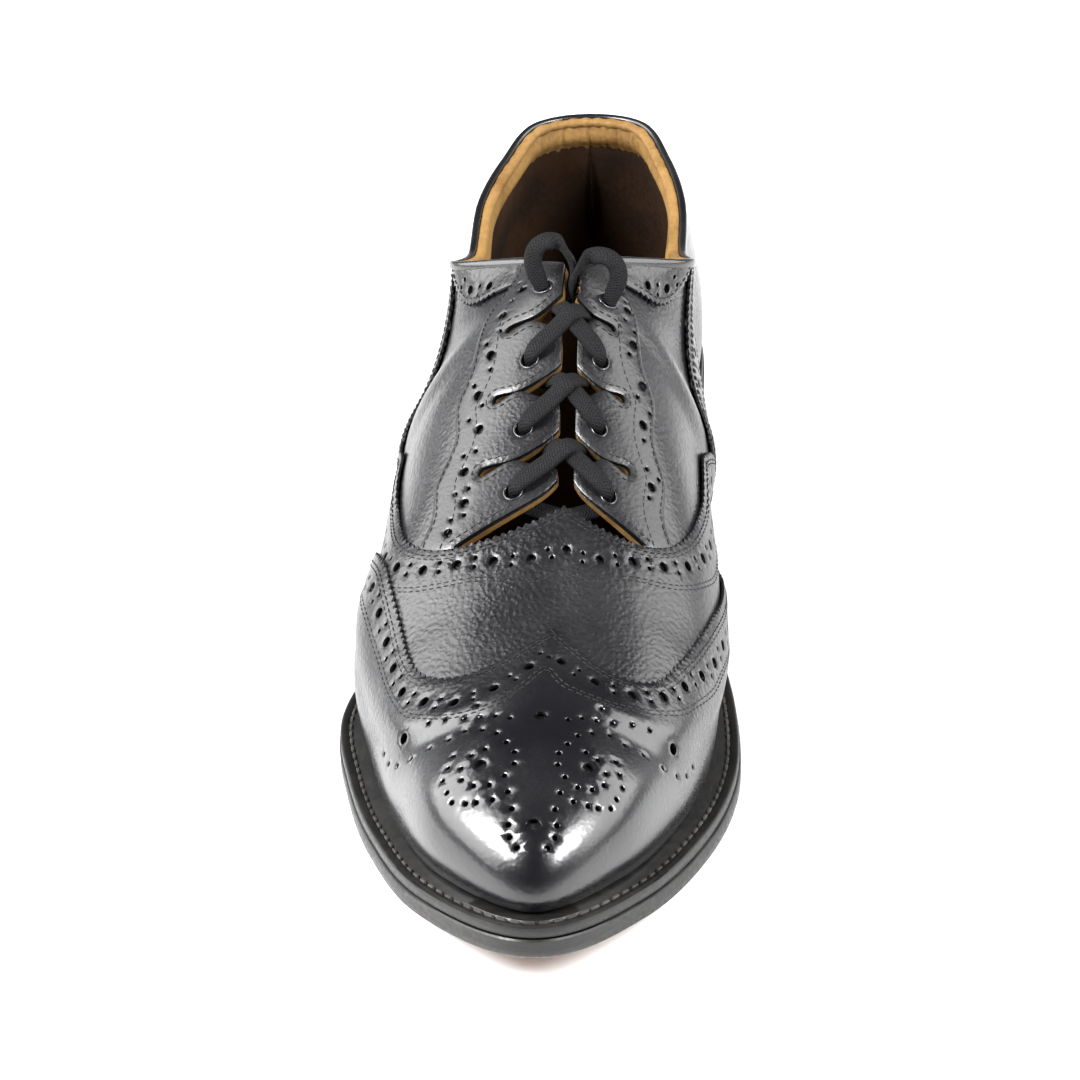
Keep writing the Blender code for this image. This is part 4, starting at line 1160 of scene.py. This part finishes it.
def makeWingCap():
    edge = wingEdge()
    feet = [footLine(1, lines["wingMedial"][0][0], lastRow), footLine(-1, lastRow, lines["wingMedial"][0][0])]
    outline = joined(gimped(edge), *feet)
    holes = broguing(bothSides("wingHolesLateral", "wingHolesMedial"))
    holes = [hole for hole in holes if distanceTo(hole[0][None], outline, True)[0] > .0022]
    for spots, radius in ((medallionSmall, punch["medallionSmall"]), (medallionBig, punch["medallionBig"])):
        holes += [(np.array([side * across / 1000, -forward / 1000]), radius)
                  for across, forward in spots for side in (-1, 1)]
    holes += [(np.array([0, -forward / 1000]), punch["medallionBig"]) for forward in medallionMiddle]
    kept = []
    for spot, radius in holes:
        if all(np.linalg.norm(spot - other) > radius + size + punch["apart"] for other, size in kept):
            kept.append((spot, radius))
    overlay("wingCap", "wing_cap", outline, [capLeather], .0018, kept, capLift)
    sewn(seams(edge, bothSides("wingFootLateral", "wingFootMedial")), outline, lift=capLift)


makeWingCap()


def makeHeelPanels():
    fronts = [drawn(side, lines["counter"]) for side in (-1, 1)]
    stays = [drawn(side, lines["backstay"]) for side in (-1, 1)]
    topStart, foot, stayTop = lines["counter"][0][0], lines["counter"][-1][0], lines["backstay"][0][0]
    outline = joined(
        gimped(fronts[0]), footLine(-1, foot, 0), footLine(1, 0, foot), gimped(fronts[1][::-1]),
        edgeLine(1, topStart, stayTop, 1), stays[1][::2], stays[0][::-2], edgeLine(-1, stayTop, topStart, 1),
    )
    holes = broguing(fronts[0], -.0056, trim=.006) + broguing(fronts[1], .0056, trim=.006)
    overlay("counterPanel", "counter", outline, [blackLeather], .0021, clearOf(holes, outline, .0022))
    for side, front in zip((-1, 1), fronts):
        sewn([sideways(front, side * inset) for inset in (*seamInsets, .0092)], outline)
    stay = joined(stays[0], stays[1][::-1], edgeLine(1, stayTop, 0, 1), edgeLine(-1, 0, stayTop, 1))
    overlay("backstayPanel", "backstay", stay, [smoothLeather], .0015, extra=.0002, look="black_polished")
    low = bothSides("backstay", "backstay")
    sewn([sideways(low, inset) for inset in (-.0012, .0012)])


makeHeelPanels()


def makeCollarPieces():
    for side, name, node in ((-1, "earLateral", "collar_lateral"), (1, "earMedial", "collar_medial")):
        lower = drawn(side, lines["collar"])
        outer = drawn(side, lines["facing"])
        facing = partOf(outer, lower[-1], outer[0])
        upper = edgeLine(side, lines["facing"][0][0], lines["collar"][0][0], 1)
        outline = joined(gimped(lower), facing, upper)
        holes = clearOf(broguing(lower, -side * .0036, .0078, .00125, .0006, .005), outline, .0018)
        overlay(name, node, outline, [blackLeather], .0016, holes)
        sewn([sideways(lower, -side * .0014)], outline)


makeCollarPieces()
collarReach = 5.5
collarTop = flatRow(np.linspace(-collarReach, collarReach, 900), 1)
inward = 1 if collarTop[0][0] > collarTop[-1][0] else -1
sewn([sideways(spaced(collarTop, .0006), inward * inset) for inset in (.0022, .0034)])
stitches.piece("stitches", thread)
print("upper made")


piping = dict(sunk=.0006, width=.0026, thickness=.0022, sides=14)
roll = dict(sunk=.0031, width=.0022, thickness=.0030, sides=12, reach=5.06, count=900)


def sunk(places, depth):
    # The collar's top line a depth inside the skin, with the skin's normals.
    normal = skinNormal(places, np.ones(len(places)))
    return skin(places, np.ones(len(places))) - depth * normal + np.array([0, 0, -.0001]) + shift, normal


def makePiping():
    # The rolled topline of the collar.
    places = spaced(np.linspace(-5.60, 5.60, 300)[:, None], .02)[:, 0]
    line, normal = sunk(places, piping["sunk"])
    cord = swept("topline", line, normal, piping["width"], piping["thickness"], smoothLeather, piping["sides"])
    settle(cord, "black_polished")


makePiping()


band = dict(low=.85, dip=.02, sunk=.0004, thickness=.0005, pad=.0014, padEdge=.004, pucker=.00042, spread=.035,
            fold=.0031, fineFold=.0047, drift=.017, fade=.008)
shadePatch = dict(reach=4.2, top=.87, foot=.04, sunk=.0006, thickness=.0005)


def makeLinings():
    # A padded band inside the collar, drawn in puckers round the back, and a patch behind the heel painted dark
    # brown as the shade deep inside.
    depth, step = leather["under"] + leather["wall"], .0012
    places = np.linspace(-collarReach, collarReach, 500)
    rim = spaced(flatRow(places, .999), step)
    low = spaced(flatRow(places, band["low"] - band["dip"] * np.abs(places) / collarReach), .0016)
    outline = joined(rim, low[::-1])
    run = spaced(rim, step)

    def lift(flat):
        near = np.concatenate([np.linalg.norm(flat[k:k + 2000, None] - run, axis=-1).argmin(axis=1)
                               for k in range(0, len(flat), 2000)])
        along, down = near * step, distanceTo(flat, rim)
        back = np.exp(-((along - len(run) * step / 2) / band["spread"]) ** 2)
        folds = np.sin(along / band["fold"] * 2 * pi + 2.1 * np.sin(along / band["drift"]))
        folds += .5 * np.sin(along / band["fineFold"] * 2 * pi)
        puckers = band["pucker"] * back * folds * np.exp(-down / band["fade"]) * ease(down / step)
        pad = band["pad"] * ease(distanceTo(flat, outline, True) / band["padEdge"])
        return -depth - band["sunk"] - pad + puckers

    places = np.linspace(-roll["reach"], roll["reach"], roll["count"])
    line, normal = sunk(places, roll["sunk"])
    back = np.exp(-(places / 2.6) ** 2)
    gathers = 1 + .16 * back * np.sin(places * 21 + 2 * np.sin(places * 3.1)) + .05 * np.sin(places * 9.0)
    gathers *= np.clip((roll["reach"] - np.abs(places)) / .10, .3, 1) ** .5
    tube = swept("collarRoll", line, normal, roll["width"] * gathers, roll["thickness"] * gathers ** .5, lining,
                 roll["sides"])
    settle(tube, "tan_lining")
    settle(panel("collarLining", outline, [lining], lift, band["thickness"], .0013), "tan_lining")
    places = np.linspace(-shadePatch["reach"], shadePatch["reach"], 300)
    top, foot = spaced(flatRow(places, shadePatch["top"]), .0015), spaced(flatRow(places, shadePatch["foot"]), .0025)
    patch = panel("heelShadePatch", joined(top, foot[::-1]), [insideShadeLeather], -depth - shadePatch["sunk"], shadePatch["thickness"],
                  .0024)
    settle(patch, "tan_lining")


makeLinings()


def makeLaceRims():
    # The burnished lip round each lace hole.
    corners, faces = [], []
    around, tube = 28, 8
    for side in (-1, 1):
        for centre, radius in punched(side, laceHoles[side], punch["rim"]):
            first = len(corners)
            for k in range(around):
                turn = 2 * pi * k / around
                way = np.array([cos(turn), sin(turn)])
                spots = [centre + way * (radius + .00032 * cos(2 * pi * j / tube)) for j in range(tube)]
                lifts = [.00002 + .00028 * sin(2 * pi * j / tube) for j in range(tube)]
                corners += list(raised(spots, lifts))
            for k in range(around):
                a, b = first + k * tube, first + (k + 1) % around * tube
                faces += [(a + j, b + j, b + (j + 1) % tube, a + (j + 1) % tube) for j in range(tube)]
    settle(newObject("laceHoleRims", np.array(corners), faces, [smoothLeather]), "black_polished")


makeLaceRims()

# Floor and soft studio light
bpy.ops.object.select_all(action="DESELECT")
bpy.ops.mesh.primitive_plane_add(size=12, location=(0, 0, 0))
floor = bpy.context.object
floor.name = "floor"
floorMaterial = newMaterial("paleFloor", Base_Color=rgb(.82, .82, .82), Roughness=.55)[0]
floor.data.materials.append(floorMaterial)


def addLight(place, target, size, power):
    bpy.ops.object.light_add(type="AREA", location=place)
    light = bpy.context.object
    light.data.shape = "RECTANGLE"
    light.data.size, light.data.size_y = size
    light.data.energy = power
    light.rotation_mode = "QUATERNION"
    light.rotation_quaternion = (Vector(place) - Vector(target)).to_track_quat("Z", "Y")


addLight((-1.05, -.05, .80), (0, -.02, .05), (1.6, 1.2), 46)
addLight((1.05, .05, .75), (0, 0, .05), (1.4, 1.1), 27)
addLight((-.72, -.46, .86), (0, -.10, .04), (.36, .44), 22)
addLight((.66, -.50, .72), (0, -.10, .04), (.26, .36), 14)
world = bpy.data.worlds.new("studio")
bpy.context.scene.world = world
world.use_nodes = True
sky = world.node_tree
way = shaderNode(sky, "ShaderNodeTexCoord", {}, "Generated")
up = way.node("ShaderNodeSeparateXYZ", {0: way}, 2)
glow = up.between(.06, .34).mix(rgb(.72, .73, .74), rgb(.05, .051, .053))
sky.links.new(glow.socket, sky.nodes["Background"].inputs[0])
bpy.context.scene.view_settings.view_transform = "Standard"
